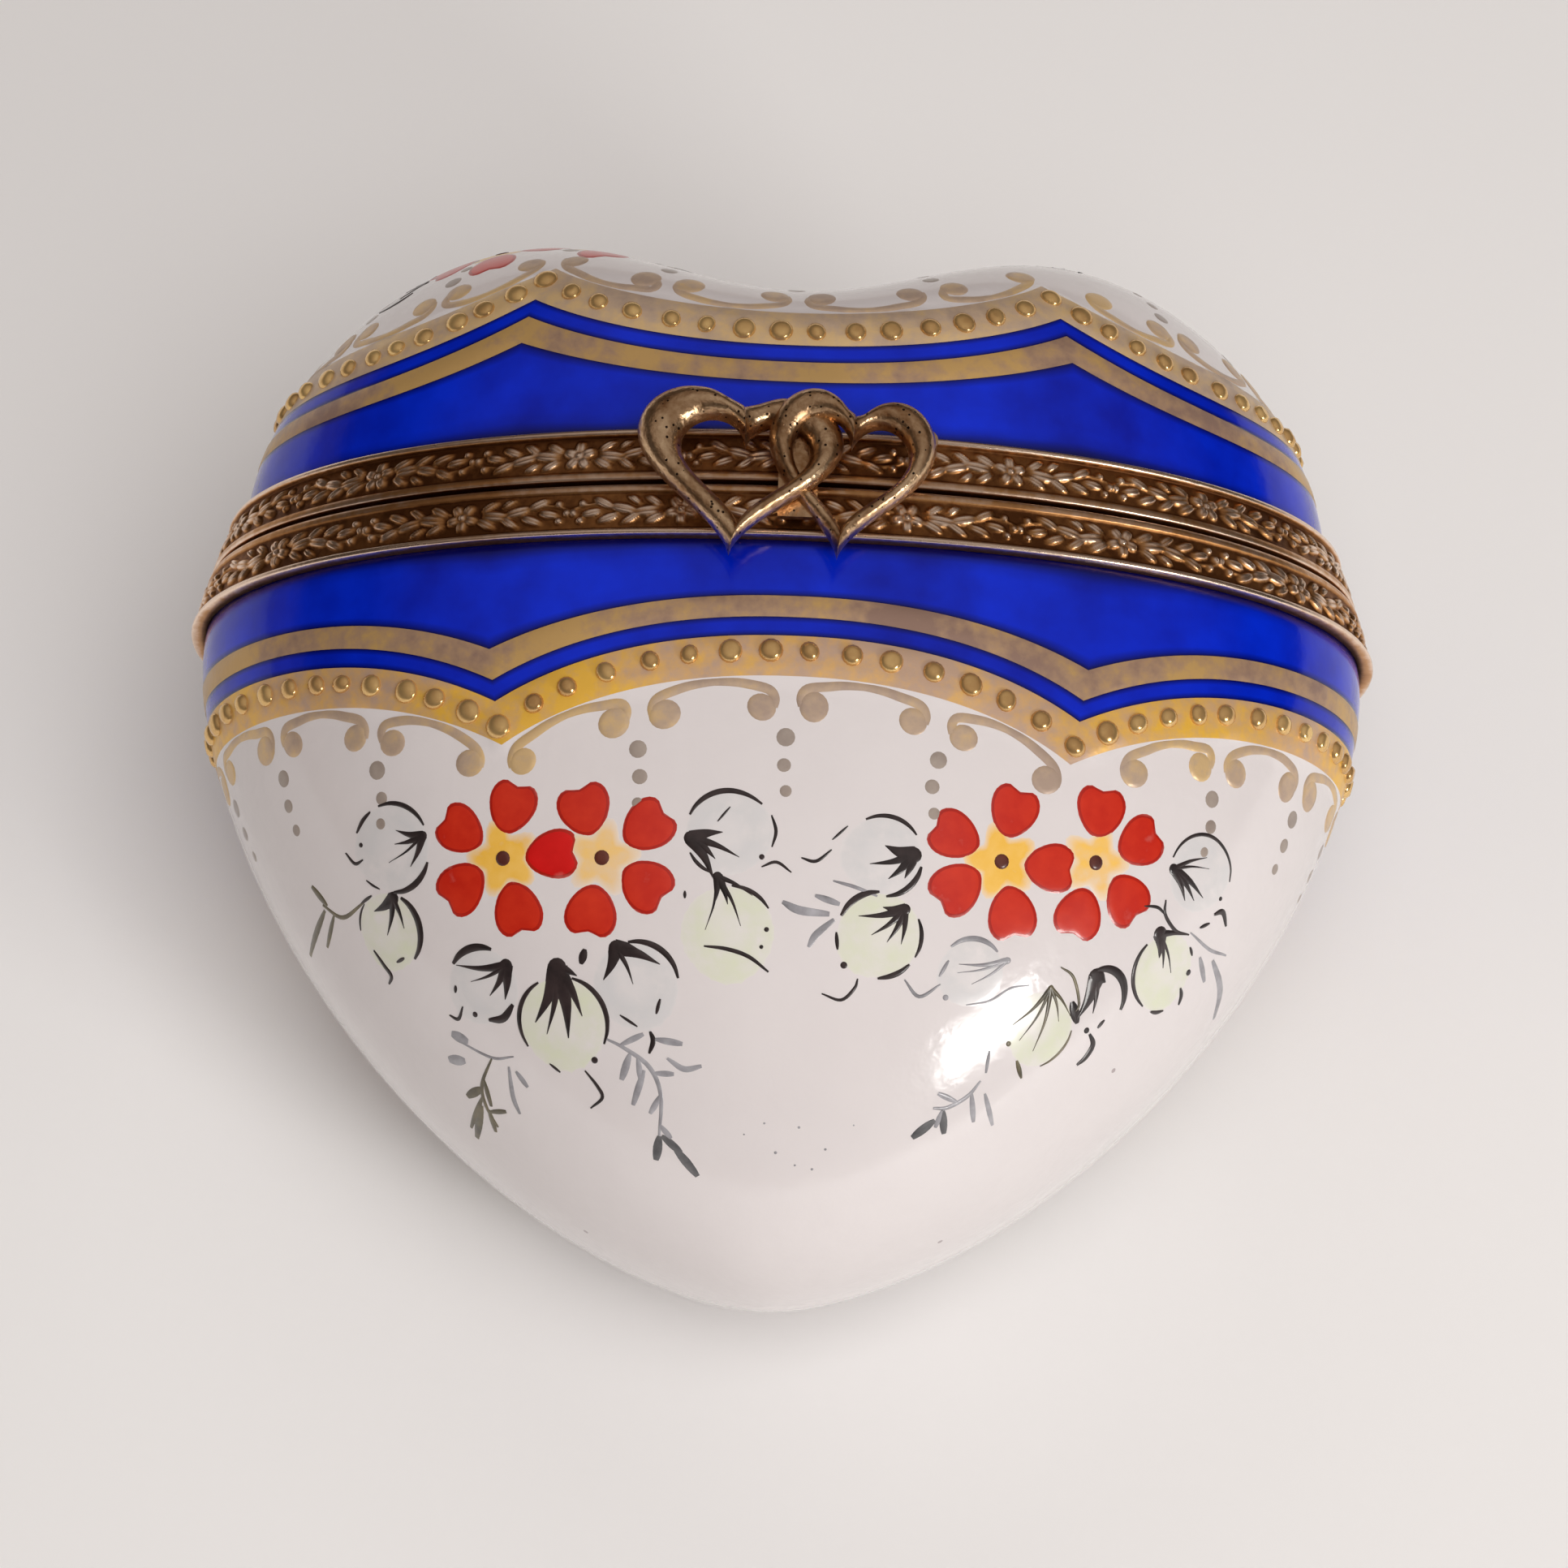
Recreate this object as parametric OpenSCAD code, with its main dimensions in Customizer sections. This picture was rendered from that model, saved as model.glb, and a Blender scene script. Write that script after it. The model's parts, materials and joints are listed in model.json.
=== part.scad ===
// Heart-shaped porcelain trinket box. The heart is split across its face: the lid carries the two
// lobes and the base carries the point. Both rims wear an engraved metal bezel, joined by a hinge at
// the back and closed by a clasp of two linked hearts at the front.
// The box is drawn upright (X across the heart, Y from the point to the lobes, Z to its front), then
// laid on its back, where the hinge barrel and a small ground spot on the base touch the table at Z = 0.

/* [Heart] */
// Width across the heart
heart_w = 50; // [46:1:54]
// Depth from front to back
heart_d = 29; // [27:1:31]
// Distance from the widest section down to the point
point_drop = 27.2; // [25:0.2:30]
// Height of the lobes above the lid's rim, before the cleft is taken out
lobe_rise = 16.3; // [14:0.1:18]
// How much lower the cleft is than the lobes would be there
cleft_drop = 7.4; // [6:0.1:9]
// How far the section narrows from its widest level up to the top of the lid bezel
rim_lean = 1.5; // [1:0.1:2]

/* [Porcelain] */
// Wall thickness of both shells
wall = 2.6; // [2:0.1:3]
// Depth of the ground spot that the base lies on
ground_depth = 0.25; // [0.2:0.05:0.35]

/* [Bezels] */
// Height of each bezel
bezel_h = 2.4; // [2.2:0.1:2.6]
// How far a bezel's engraved band stands off the porcelain
bezel_t = 0.5; // [0.4:0.05:0.6]
// How far the plain lip along each bezel's outer edge stands off the porcelain
lip_t = 0.65; // [0.6:0.05:0.8]
// Width of the flat ledge that covers the porcelain's rim
ledge_w = 2; // [1.6:0.1:2.2]
// Gap between the two bezels when the box is shut
parting_gap = 0.2; // [0.15:0.05:0.3]

/* [Hinge] */
// Radius of the hinge barrel
barrel_r = 1; // [0.9:0.05:1.2]
// Radius of the hinge pin
pin_r = 0.5; // [0.4:0.05:0.6]
// Length of the middle knuckle
middle_knuckle = 3.8; // [3:0.2:5]
// Length of each outer knuckle
outer_knuckle = 3; // [2.5:0.25:4]

/* [Clasp] */
// Left heart's size, across and up
left_heart = [8.4, 7.1]; // [7:0.1:9]
// Size of the opening in the left heart, across and up
left_opening = [4.9, 4.5]; // [4:0.1:5.4]
// Right heart's size, across and up
right_heart = [6.8, 7.1]; // [6.4:0.1:8]
// Size of the opening in the right heart, across and up
right_opening = [4.7, 4.7]; // [4:0.1:5]
// Half the thickness of the hearts at their lobes
lobe_bar = 0.62; // [0.5:0.02:0.7]
// Half the thickness of the hearts at their points
point_bar = 0.42; // [0.35:0.01:0.5]

/* [Hidden] */
around = 72;                    // points round every oval section
oval_power = 2.1;               // 2 is an ellipse, more is squarer
widest_y = -3.5;                // the widest section lies this far below the parting line
rim_inset = parting_gap / 2 + 0.7;  // porcelain rims stop under the bezel ledges
half_gap = parting_gap / 2;
fit = 0.02;                     // cement line between a bezel and its shell
knuckle_gap = 0.1;              // end clearance between knuckles
lid_bore_clearance = 0.05;
base_bore_clearance = 0.03;
porcelain_colour = [0.96, 0.94, 0.95];
bezel_colour = [0.45, 0.31, 0.17];
clasp_colour = [0.6, 0.5, 0.33];

// Shape of the heart: half width and half depth of the section at height y.
body_half_w = heart_w / 2 - 0.2;
body_half_d = heart_d / 2;
function taper(y, drop, power) = pow(max(0, 1 - pow((widest_y - y) / drop, power)), 1 / power);
function above(y, lean) = lean * pow((y - widest_y) / (bezel_h - widest_y), 1.7);
function half_w(y, inset = 0) = y > widest_y ? body_half_w - inset - above(y, rim_lean)
  : (body_half_w - inset) * taper(y, point_drop - inset, 1.64);
function half_d(y, inset = 0) = y > widest_y ? body_half_d - inset - above(y, rim_lean / 3)
  : (body_half_d - inset) * taper(y, point_drop - inset, 2.2);

// Height of the lid's dome above its rim, over the point x, z.
function cleft(u) = exp(-pow(u / 0.46, 2));
function ridge(u, rise, drop) = pow(max(0, 1 - u * u), 0.55) * (rise - drop * cleft(u));
function dome(x, z, w, d, rise, drop) =
  let (u = min(1, abs(x) / w),
       across = max(0.000001, d * pow(max(0, 1 - pow(u, oval_power)), 1 / oval_power)),
       power = 2.2 + 1.6 * cleft(u))
  ridge(u, rise, drop) * pow(max(0, 1 - pow(min(1, abs(z) / across), power)), 1 / power);

// One oval ring of points, as [x, z] pairs.
function power_of(c) = sign(c) * pow(abs(c), 2 / oval_power);
function oval(w, d) = [for (i = [0:around - 1]) let (t = 360 * i / around)
  [w * power_of(cos(t)), d * power_of(sin(t))]];
function level_ring(y, w, d) = [for (p = oval(w, d)) [p[0], y, p[1]]];
function dome_ring(s, w, d, rise, drop) = [for (p = oval(w * s, d * s))
  [p[0], bezel_h + dome(p[0], p[1], w, d, rise, drop), p[1]]];

// Walls between neighbouring rings; the first and last ring may be a single point, or joined up.
function wall_faces(rings, closed) = [for (r = [0:rings - (closed ? 1 : 2)], i = [0:around - 1])
  let (j = (i + 1) % around, s = (r + 1) % rings,
       a = r * around + i, b = r * around + j, c = s * around + j, d = s * around + i)
  each [[a, c, b], [a, d, c]]];
module loft(rings, first = [], last = [], closed = false) {
  n = len(rings) * around;
  tips = [for (i = [0:around - 1]) let (j = (i + 1) % around, e = n - around)
    each closed ? [] : [[n, i, j], [n + 1, e + j, e + i]]];
  polyhedron(points = concat([for (r = rings) each r], closed ? [] : [first, last]),
             faces = concat(wall_faces(len(rings), closed), tips));
}

// The box lies on its back: find the tilt at which hinge barrel and belly touch the same table.
barrel_z = half_d(0) + bezel_t + 0.2 + barrel_r;
function belly(tilt) = min([for (y = [-26:0.25:-6]) y * sin(tilt) - half_d(y) * cos(tilt)]);
function lift(tilt) = belly(tilt) + ground_depth + barrel_z * cos(tilt) + barrel_r;
function solve(low, high, n) = n == 0 ? low
  : let (mid = (low + high) / 2) lift(mid) > 0 ? solve(mid, high, n - 1) : solve(low, mid, n - 1);
rest_tilt = solve(5, 30, 30);
rest_z = barrel_z * cos(rest_tilt) + barrel_r;
rest_y = 7.66;                  // brings the middle of the lying box to Y = 0
module lying() { translate([0, rest_y, rest_z]) rotate([rest_tilt, 0, 0]) children(); }

// Rows of section heights, close together where the shape turns quickly.
function base_levels(drop, count) = [for (i = [1:count]) widest_y - drop * sin(90 * i / (count + 1))];
shoulder_levels = [for (y = [-1.6:-0.8:-6.4]) y];
function below(levels, y) = [for (l = levels) if (l < y) l];
function dome_steps(count) = [for (k = [1:count - 1]) sin(90 * (1 - pow(k / count, 1.7)))];

module base_shell() {
  inner_drop = point_drop - wall;
  outer = concat([-rim_inset], shoulder_levels, below(base_levels(point_drop, 18), -7));
  inner = concat(base_levels(inner_drop, 12), [-rim_inset]);
  inner_order = [for (i = [len(inner) - 2:-1:0]) inner[i]];
  color(porcelain_colour) lying() difference() {
    loft(concat(
           [for (y = inner_order) level_ring(y, half_w(y, wall), half_d(y, wall))],
           [level_ring(-rim_inset, half_w(-rim_inset, wall), half_d(-rim_inset, wall))],
           [for (y = outer) level_ring(y, half_w(y), half_d(y))]),
         first = [0, widest_y - inner_drop, 0], last = [0, widest_y - point_drop, 0]);
    rotate([-rest_tilt, 0, 0]) translate([-15, -45, -rest_z - 10]) cube([30, 45, 10]);
  }
}

module lid_shell() {
  w = half_w(bezel_h);
  d = half_d(bezel_h);
  rise = lobe_rise - wall - 0.2;
  drop = cleft_drop - 0.3;
  steps = dome_steps(18);
  color(porcelain_colour) lying() loft(concat(
      [for (i = [len(steps) - 1:-1:0]) dome_ring(steps[i], w, d, lobe_rise, cleft_drop)],
      [level_ring(bezel_h, w, d), level_ring(rim_inset, half_w(rim_inset), half_d(rim_inset))],
      [level_ring(rim_inset, half_w(rim_inset, wall), half_d(rim_inset, wall))],
      [for (s = dome_steps(12)) dome_ring(s, w - wall, d - wall, rise, drop)]),
    first = [0, bezel_h + lobe_rise - cleft_drop, 0], last = [0, bezel_h + rise - drop, 0]);
}

// A bezel's section, as [stand-off, height] pairs for the upper one; side = -1 gives the lower one.
module bezel(side) {
  section = [[fit, bezel_h], [lip_t, bezel_h], [lip_t, bezel_h - 0.4], [bezel_t, bezel_h - 0.55],
             [bezel_t, half_gap + 0.1], [bezel_t - 0.1, half_gap], [-ledge_w, half_gap],
             [-ledge_w, rim_inset - fit], [fit, rim_inset - fit]];
  order = side > 0 ? section : [for (i = [len(section) - 1:-1:0]) section[i]];
  loft([for (p = order) let (y = side * p[1]) level_ring(y, half_w(y) + p[0], half_d(y) + p[0])],
       closed = true);
}
module base_bezel() { color(bezel_colour) lying() bezel(-1); }
module lid_bezel() { color(bezel_colour) lying() bezel(1); }

// A knuckle with the small leaf that is soldered to its bezel; side is +1 for the lid.
module knuckle(x, length, bore_r, side) {
  leaf_h = 1.9;
  leaf_below = barrel_r * 0.3;
  leaf_face = max(half_d(side * rim_inset), half_d(side * bezel_h)) + 0.12;
  difference() {
    union() {
      translate([x, 0, -barrel_z]) rotate([0, 90, 0]) cylinder(r = barrel_r, h = length, $fn = 48);
      translate([x, side > 0 ? 0.2 : -0.2 - leaf_h, -barrel_z - leaf_below])
        cube([length, leaf_h, leaf_below + barrel_z - leaf_face]);
    }
    translate([x - 1, 0, -barrel_z]) rotate([0, 90, 0]) cylinder(r = bore_r, h = length + 2, $fn = 48);
  }
}
outer_x = middle_knuckle / 2 + knuckle_gap;
module base_hinge_leaves() {
  color(bezel_colour) lying() for (x = [-outer_x - outer_knuckle, outer_x])
    knuckle(x, outer_knuckle, pin_r + base_bore_clearance, -1);
}
module lid_hinge_leaf() {
  color(bezel_colour) lying() knuckle(-middle_knuckle / 2, middle_knuckle, pin_r + lid_bore_clearance, 1);
}
module hinge_pin() {
  head_h = 0.35;
  reach = outer_x + outer_knuckle + 0.05;
  color(clasp_colour) lying() translate([-reach, 0, -barrel_z]) rotate([0, 90, 0]) {
    cylinder(r = pin_r, h = 2 * reach, $fn = 48);
    for (z = [-head_h, 2 * reach]) translate([0, 0, z]) cylinder(r = barrel_r * 0.75, h = head_h, $fn = 48);
  }
}

// The clasp: each heart is a ring whose inner and outer edges are two hearts about one centre. The
// outer edge's notch is filled up to a web, and the rings weave in and out where they cross.
clasp_z = half_d(0) + 1.65;     // middle of the rings, in front of the bezels
link_dip = 0.35;
web_slope = 0.4;
web_reach = 0.7;                 // the web ends at this cosine, where it meets the crest of the lobe
function heart_x(t, w) = w / 2 * pow(sin(t), 3);
function heart_y(t, h) = h * (13 * cos(t) - 5 * cos(2 * t) - 2 * cos(3 * t) - cos(4 * t) + 2.5) / 28.9;
function inner_edge(t, size) = [heart_x(t, size[0]), heart_y(t, size[1])];
function outer_edge(t, size, web) = let (x = heart_x(t, size[0]), y = heart_y(t, size[1]))
  [x, cos(t) > web_reach ? max(y, web + web_slope * abs(x)) : y];
function turn(p, a) = [p[0] * cos(a) + p[1] * sin(a), p[1] * cos(a) - p[0] * sin(a)];
module heart(centre, outer, inner, web, lean, side) {
  steps = 40;
  sides = 10;
  ring = [for (i = [0:steps - 1])
    let (t = 360 * i / steps, a = turn(outer_edge(t, outer, web), lean), b = turn(inner_edge(t, inner), lean),
         middle = centre + (a + b) / 2, half = (a - b) / 2,
         rise = point_bar + (lobe_bar - point_bar) * (1 + cos(t)) / 2,
         z = clasp_z - link_dip * sin(2 * t) * (1 + side * sin(t)) / 2)
    each [for (k = [0:sides - 1]) let (p = middle + half * cos(360 * k / sides))
      [p[0], p[1], z + rise * sin(360 * k / sides)]]];
  polyhedron(points = ring, faces = [for (i = [0:steps - 1], k = [0:sides - 1])
    let (a = i * sides + k, b = i * sides + (k + 1) % sides,
         c = ((i + 1) % steps) * sides + (k + 1) % sides, d = ((i + 1) % steps) * sides + k)
    each [[a, c, b], [a, d, c]]]);
}
module left_clasp_heart() {
  color(clasp_colour) lying() heart([-2.4, -0.15], left_heart, left_opening, 2.9, 4, 1);
}
module right_clasp_heart() {
  color(clasp_colour) lying() heart([2.1, -0.2], right_heart, right_opening, 2.7, 6, -1);
}
module clasp_posts() {
  color(clasp_colour) lying() for (x = [-5.4, 5.3])
    translate([x, 1.7, half_d(bezel_h) + 0.15]) cylinder(r = 0.45, h = 1.6, $fn = 32);
}
tongue_z = half_d(0) + 1;       // underside of the tongue, clear of the base bezel and the bead
module clasp_tongue() {
  color(clasp_colour) lying() translate([-0.7, 0, 0]) {
    translate([0, -1.8, tongue_z]) cube([1.6, 3.8, 0.35]);
    translate([0, 0.4, half_d(0) + 0.1]) cube([1.6, 1.6, 1]);
  }
}
module catch_bead() {
  color(clasp_colour) lying() translate([0.1, -1.1, half_d(-1.1) + bezel_t - 0.1]) sphere(r = 0.4, $fn = 32);
}

base_shell();
lid_shell();
base_bezel();
lid_bezel();
base_hinge_leaves();
lid_hinge_leaf();
hinge_pin();
left_clasp_heart();
right_clasp_heart();
clasp_posts();
clasp_tongue();
catch_bead();
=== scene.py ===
import json
import math

import bmesh
import bpy
import numpy as np
from mathutils import Matrix, Vector


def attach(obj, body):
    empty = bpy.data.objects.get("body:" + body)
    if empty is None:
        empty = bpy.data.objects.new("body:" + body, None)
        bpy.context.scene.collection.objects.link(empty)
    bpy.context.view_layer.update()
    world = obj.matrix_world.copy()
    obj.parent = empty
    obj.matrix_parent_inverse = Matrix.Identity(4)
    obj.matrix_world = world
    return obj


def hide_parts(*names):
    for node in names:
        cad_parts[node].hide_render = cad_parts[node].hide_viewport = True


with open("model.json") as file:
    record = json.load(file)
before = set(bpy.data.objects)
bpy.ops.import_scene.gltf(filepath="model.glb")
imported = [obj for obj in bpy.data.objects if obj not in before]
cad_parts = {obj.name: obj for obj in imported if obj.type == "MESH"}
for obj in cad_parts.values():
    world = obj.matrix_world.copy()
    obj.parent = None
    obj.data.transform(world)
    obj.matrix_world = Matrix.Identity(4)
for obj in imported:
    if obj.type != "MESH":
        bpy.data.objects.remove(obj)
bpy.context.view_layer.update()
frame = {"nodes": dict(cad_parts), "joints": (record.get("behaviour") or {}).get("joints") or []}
print("stage: frame loaded")

mm = 0.001

# Every shape is worked out in millimetres on the upright heart: x across it, y from its point to its
# lobes, z to its front, with the parting line at y = 0. inPlace() then lays it on its back.
heart = {
    "tilt": 14.15,          # lean of the front face once the box lies on its back
    "barrelZ": 15.994,      # hinge barrel's distance behind the middle
    "halfWidth": 24.8,
    "halfDepth": 14.5,
    "widestY": -3.5,
    "pointDrop": 27.2,
    "frontTaper": 1.64,     # how full the outline is on its way to the point, seen from the front
    "sideTaper": 2.2,       # the same, seen from the side
    "rimLean": 1.5,
    "leanPower": 1.7,
    "bezelHeight": 2.4,
    "lobeRise": 16.3,
    "lobePower": 0.55,
    "cleftDrop": 7.4,
    "cleftWidth": 0.46,     # as a part of the half width
    "domePower": 2.2,       # how square the lobes are from front to back
    "cleftPower": 1.6,      # how much squarer they are at the cleft
    "wall": 2.6,
    "baseRows": 46,         # rows of mesh in the white outside, and in the inside
    "lidRows": 44,
    "baseInsideRows": 21,
    "lidInsideRows": 24,
    "rimInset": 0.8,
    "ovalPower": 2.1,
    "columns": 360,
}
hingePoint = np.array(frame["joints"][0]["pos_m"])
tilt = math.radians(heart["tilt"])


def inPlace(points):
    p = np.asarray(points, float).reshape(-1, 3)
    y = p[:, 1]
    z = p[:, 2] + heart["barrelZ"]
    return np.column_stack([
        p[:, 0] * mm,
        hingePoint[1] + (y * math.cos(tilt) - z * math.sin(tilt)) * mm,
        hingePoint[2] + (y * math.sin(tilt) + z * math.cos(tilt)) * mm,
    ])


def halfSpan(y, size, lean, power, inset):
    # half the width or depth at y: it leans in above the widest line and runs to a point below it
    y = np.asarray(y, float)
    widest = heart["widestY"]
    above = np.clip(y - widest, 0, None) / (heart["bezelHeight"] - widest)
    below = np.clip((widest - y) / (heart["pointDrop"] - inset), 0, 1)
    return np.where(y > widest, size - inset - lean * above ** heart["leanPower"],
                    (size - inset) * (1 - below ** power) ** (1 / power))


def halfWidth(y, inset=0.0):
    return halfSpan(y, heart["halfWidth"], heart["rimLean"], heart["frontTaper"], inset)


def halfDepth(y, inset=0.0):
    return halfSpan(y, heart["halfDepth"], heart["rimLean"] / 3, heart["sideTaper"], inset)


def ovalPower(c):
    return np.sign(c) * np.abs(c) ** (2 / heart["ovalPower"])


def ovalRing(t, y, w, d):
    t = np.radians(t)
    return np.column_stack([w * ovalPower(np.cos(t)), y + 0 * t, d * ovalPower(np.sin(t))])


def onBase(t, y, inset=0.0):
    return ovalRing(t, y, halfWidth(y, inset), halfDepth(y, inset))


def domeParts(x, w, d, rise, drop):
    u = np.clip(np.abs(x) / w, 0, 1)
    cleft = np.exp(-(u / heart["cleftWidth"]) ** 2)
    n = heart["ovalPower"]
    across = np.maximum(d * (1 - u ** n) ** (1 / n), 1e-6)
    ridge = np.maximum((1 - u * u) ** heart["lobePower"] * (rise - drop * cleft), 1e-6)
    return across, ridge, heart["domePower"] + heart["cleftPower"] * cleft


def domeHeight(x, z, w, d, rise, drop):
    across, ridge, power = domeParts(x, w, d, rise, drop)
    return ridge * (1 - np.clip(np.abs(z) / across, 0, 1) ** power) ** (1 / power)


lidW = float(halfWidth(heart["bezelHeight"]))
lidD = float(halfDepth(heart["bezelHeight"]))
outerDome = (lidW, lidD, heart["lobeRise"], heart["cleftDrop"])
innerDome = (lidW - heart["wall"], lidD - heart["wall"],
             heart["lobeRise"] - heart["wall"] - 0.2, heart["cleftDrop"] - 0.3)


def domeRing(t, s, dome):
    w, d, rise, drop = dome
    t = np.radians(t)
    x = w * s * ovalPower(np.cos(t))
    z = d * s * ovalPower(np.sin(t))
    return np.column_stack([x, heart["bezelHeight"] + domeHeight(x, z, w, d, rise, drop), z])


def baseField(p):
    # below zero inside the base, above zero outside it
    n = heart["ovalPower"]
    w = np.maximum(halfWidth(p[:, 1]), 1e-6)
    d = np.maximum(halfDepth(p[:, 1]), 1e-6)
    return (np.abs(p[:, 0]) / w) ** n + (np.abs(p[:, 2]) / d) ** n - 1


def lidField(p):
    across, ridge, power = domeParts(p[:, 0], *outerDome)
    up = np.clip(p[:, 1] - heart["bezelHeight"], 0, None)
    return (np.abs(p[:, 2]) / across) ** power + (up / ridge) ** power - 1


def settle(field, points, out, reach=4.0):
    # moves each point along out until it lies on the surface, by halving the reach again and again
    points = np.asarray(points, float).reshape(-1, 3)
    low = points - reach * out
    high = points + reach * out
    for _ in range(36):
        middle = (low + high) / 2
        inside = (field(middle) < 0)[:, None]
        low = np.where(inside, middle, low)
        high = np.where(inside, high, middle)
    return (low + high) / 2


def normalsAt(field, points):
    step = 0.004
    grads = [field(points + step * e) - field(points - step * e) for e in np.eye(3)]
    n = np.column_stack(grads)
    return n / np.linalg.norm(n, axis=1)[:, None]


def patchFrom(field, point):
    # a small flat drawing board that touches the surface at point; right and up are its axes
    out = normalsAt(field, point[None])[0]
    right = np.cross([0, 1, 0], out)
    right /= np.linalg.norm(right)
    return {"field": field, "at": point, "out": out, "right": right, "up": np.cross(out, right)}


def patchAt(field, x, y, z=None):
    # on the front at x and y, or where z is given, on the top at x and z
    out = np.array([0, 0, 1.0] if z is None else [0, 1.0, 0])
    start = [x, y, 10.0 if z is None else z]
    return patchFrom(field, settle(field, start, out, 10.0)[0])


def lay(patch, uv):
    uv = np.asarray(uv, float).reshape(-1, 2)
    flat = patch["at"] + uv[:, :1] * patch["right"] + uv[:, 1:] * patch["up"]
    points = settle(patch["field"], flat, patch["out"])
    return points, normalsAt(patch["field"], points)


def newJob():
    # a mesh in the making: looks holds a material number for each face, and a cover and shading value for
    # each point: how far paint covers there, and on the cobalt and the bezels how light or dark the colour is
    # painted, as painted shade and painted highlight
    return {"points": [], "faces": [], "looks": [], "coverAndShading": [], "count": 0}


def addPoints(job, points, coverAndShading):
    start = job["count"]
    job["points"].append(np.asarray(points, float).reshape(-1, 3))
    job["coverAndShading"].append(np.broadcast_to(np.asarray(coverAndShading, float), len(job["points"][-1])).copy())
    job["count"] += len(job["points"][-1])
    return start


def joinRings(job, a, b, n, look):
    for j in range(n):
        k = (j + 1) % n
        job["faces"].append((a + j, a + k, b + k, b + j))
        job["looks"].append(look)


def addGrid(job, rows, look, wrap=False, closed=False, coverAndShading=1.0):
    # rows of points joined by quads; look is one material number, or one for each strip; wrap joins each
    # row's ends, and closed joins the last row to the first
    rows = np.asarray(rows, float)
    count, across = rows.shape[:2]
    start = addPoints(job, rows, coverAndShading)
    for i in range(count - 1):
        paint = look[i] if isinstance(look, list) else look
        for j in range(across if wrap else across - 1):
            a = start + i * across + j
            b = start + i * across + (j + 1) % across
            job["faces"].append((a, b, b + across, a + across))
            job["looks"].append(paint)
    if closed:
        joinRings(job, start + (count - 1) * across, start, across, look)
    return start


def addFan(job, start, across, tip, look, coverAndShading=1.0, flip=False):
    # closes a ring of points with one point in its middle
    middle = addPoints(job, tip, coverAndShading)
    for j in range(across):
        a, b = start + j, start + (j + 1) % across
        job["faces"].append((b, a, middle) if flip else (a, b, middle))
        job["looks"].append(look)


def makePiece(job, name, looks, body, replaced=(), ground=False):
    # the box stands on a flat spot: nothing of it reaches below the floor, and no paint lies on that spot
    points = inPlace(np.concatenate(job["points"]))
    points[:, 2] = np.maximum(points[:, 2], 0)
    faces, painted = job["faces"], job["looks"]
    if not ground:
        kept = [any(points[i, 2] > 0 for i in face) for face in faces]
        faces = [face for face, keep in zip(faces, kept) if keep]
        painted = [look for look, keep in zip(painted, kept) if keep]
    used = np.unique(np.concatenate([np.array(face) for face in faces]))
    place = np.full(len(points), -1)
    place[used] = np.arange(len(used))
    mesh = bpy.data.meshes.new(name)
    mesh.from_pydata(points[used].tolist(), [], [place[list(face)].tolist() for face in faces])
    for look in looks:
        mesh.materials.append(look)
    mesh.polygons.foreach_set("material_index", painted)
    mesh.polygons.foreach_set("use_smooth", [True] * len(faces))
    amount = np.concatenate(job["coverAndShading"])[used]
    mesh.attributes.new("coverAndShading", "FLOAT", "POINT").data.foreach_set("value", amount)
    mesh.update()
    piece = bpy.data.objects.new(name, mesh)
    bpy.context.scene.collection.objects.link(piece)
    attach(piece, body)
    if replaced:
        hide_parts(*replaced)
    return piece


def alsoBehind(job):
    # repeats everything on the back of the heart, turned half round its upright axis
    points = np.concatenate(job["points"]) * [-1, 1, -1]
    moved = addPoints(job, points, np.concatenate(job["coverAndShading"]))
    job["faces"] += [tuple(i + moved for i in face) for face in job["faces"]]
    job["looks"] += job["looks"]


def smoothLine(points, steps=6):
    p = np.asarray(points, float)
    if len(p) < 3:
        return np.array([p[0] + (p[-1] - p[0]) * k / steps for k in range(steps + 1)])
    ends = np.vstack([2 * p[0] - p[1], p, 2 * p[-1] - p[-2]])
    line = []
    for a, b, c, d in zip(ends, ends[1:], ends[2:], ends[3:]):
        for k in range(steps):
            s = k / steps
            line.append(0.5 * (2 * b + (c - a) * s + (2 * a - 5 * b + 4 * c - d) * s ** 2
                               + (3 * b - a - 3 * c + d) * s ** 3))
    return np.array(line + [p[-1]])


def ribbon(job, centres, normals, widths, look, lift=0.03):
    # a strip with a low crown whose edges sink into the surface
    along = np.gradient(centres, axis=0)
    side = np.cross(normals, along)
    side /= np.linalg.norm(side, axis=1)[:, None]
    half = (np.asarray(widths) / 2)[:, None]
    rows = [centres + side * half * out + normals * up
            for out, up in ((1, -0.01), (0.75, lift * 0.7), (0, lift), (-0.75, lift * 0.7), (-1, -0.01))]
    addGrid(job, np.array(rows), look)


def brush(job, patch, points, width, look, start, end, fall=3.0, lift=0.03):
    # a stroke through the points; start and end say how thin it gets at its ends
    line = smoothLine(points)
    centres, normals = lay(patch, line)
    if np.abs(patch["field"](centres)).max() > 0.01:
        return                                            # it would run off the edge of the surface
    s = np.linspace(0, 1, len(line))
    widths = width * (1 - (1 - start) * (1 - s) ** fall - (1 - end) * s ** fall)
    ribbon(job, centres, normals, np.maximum(widths, 0.03), look, lift)


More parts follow.
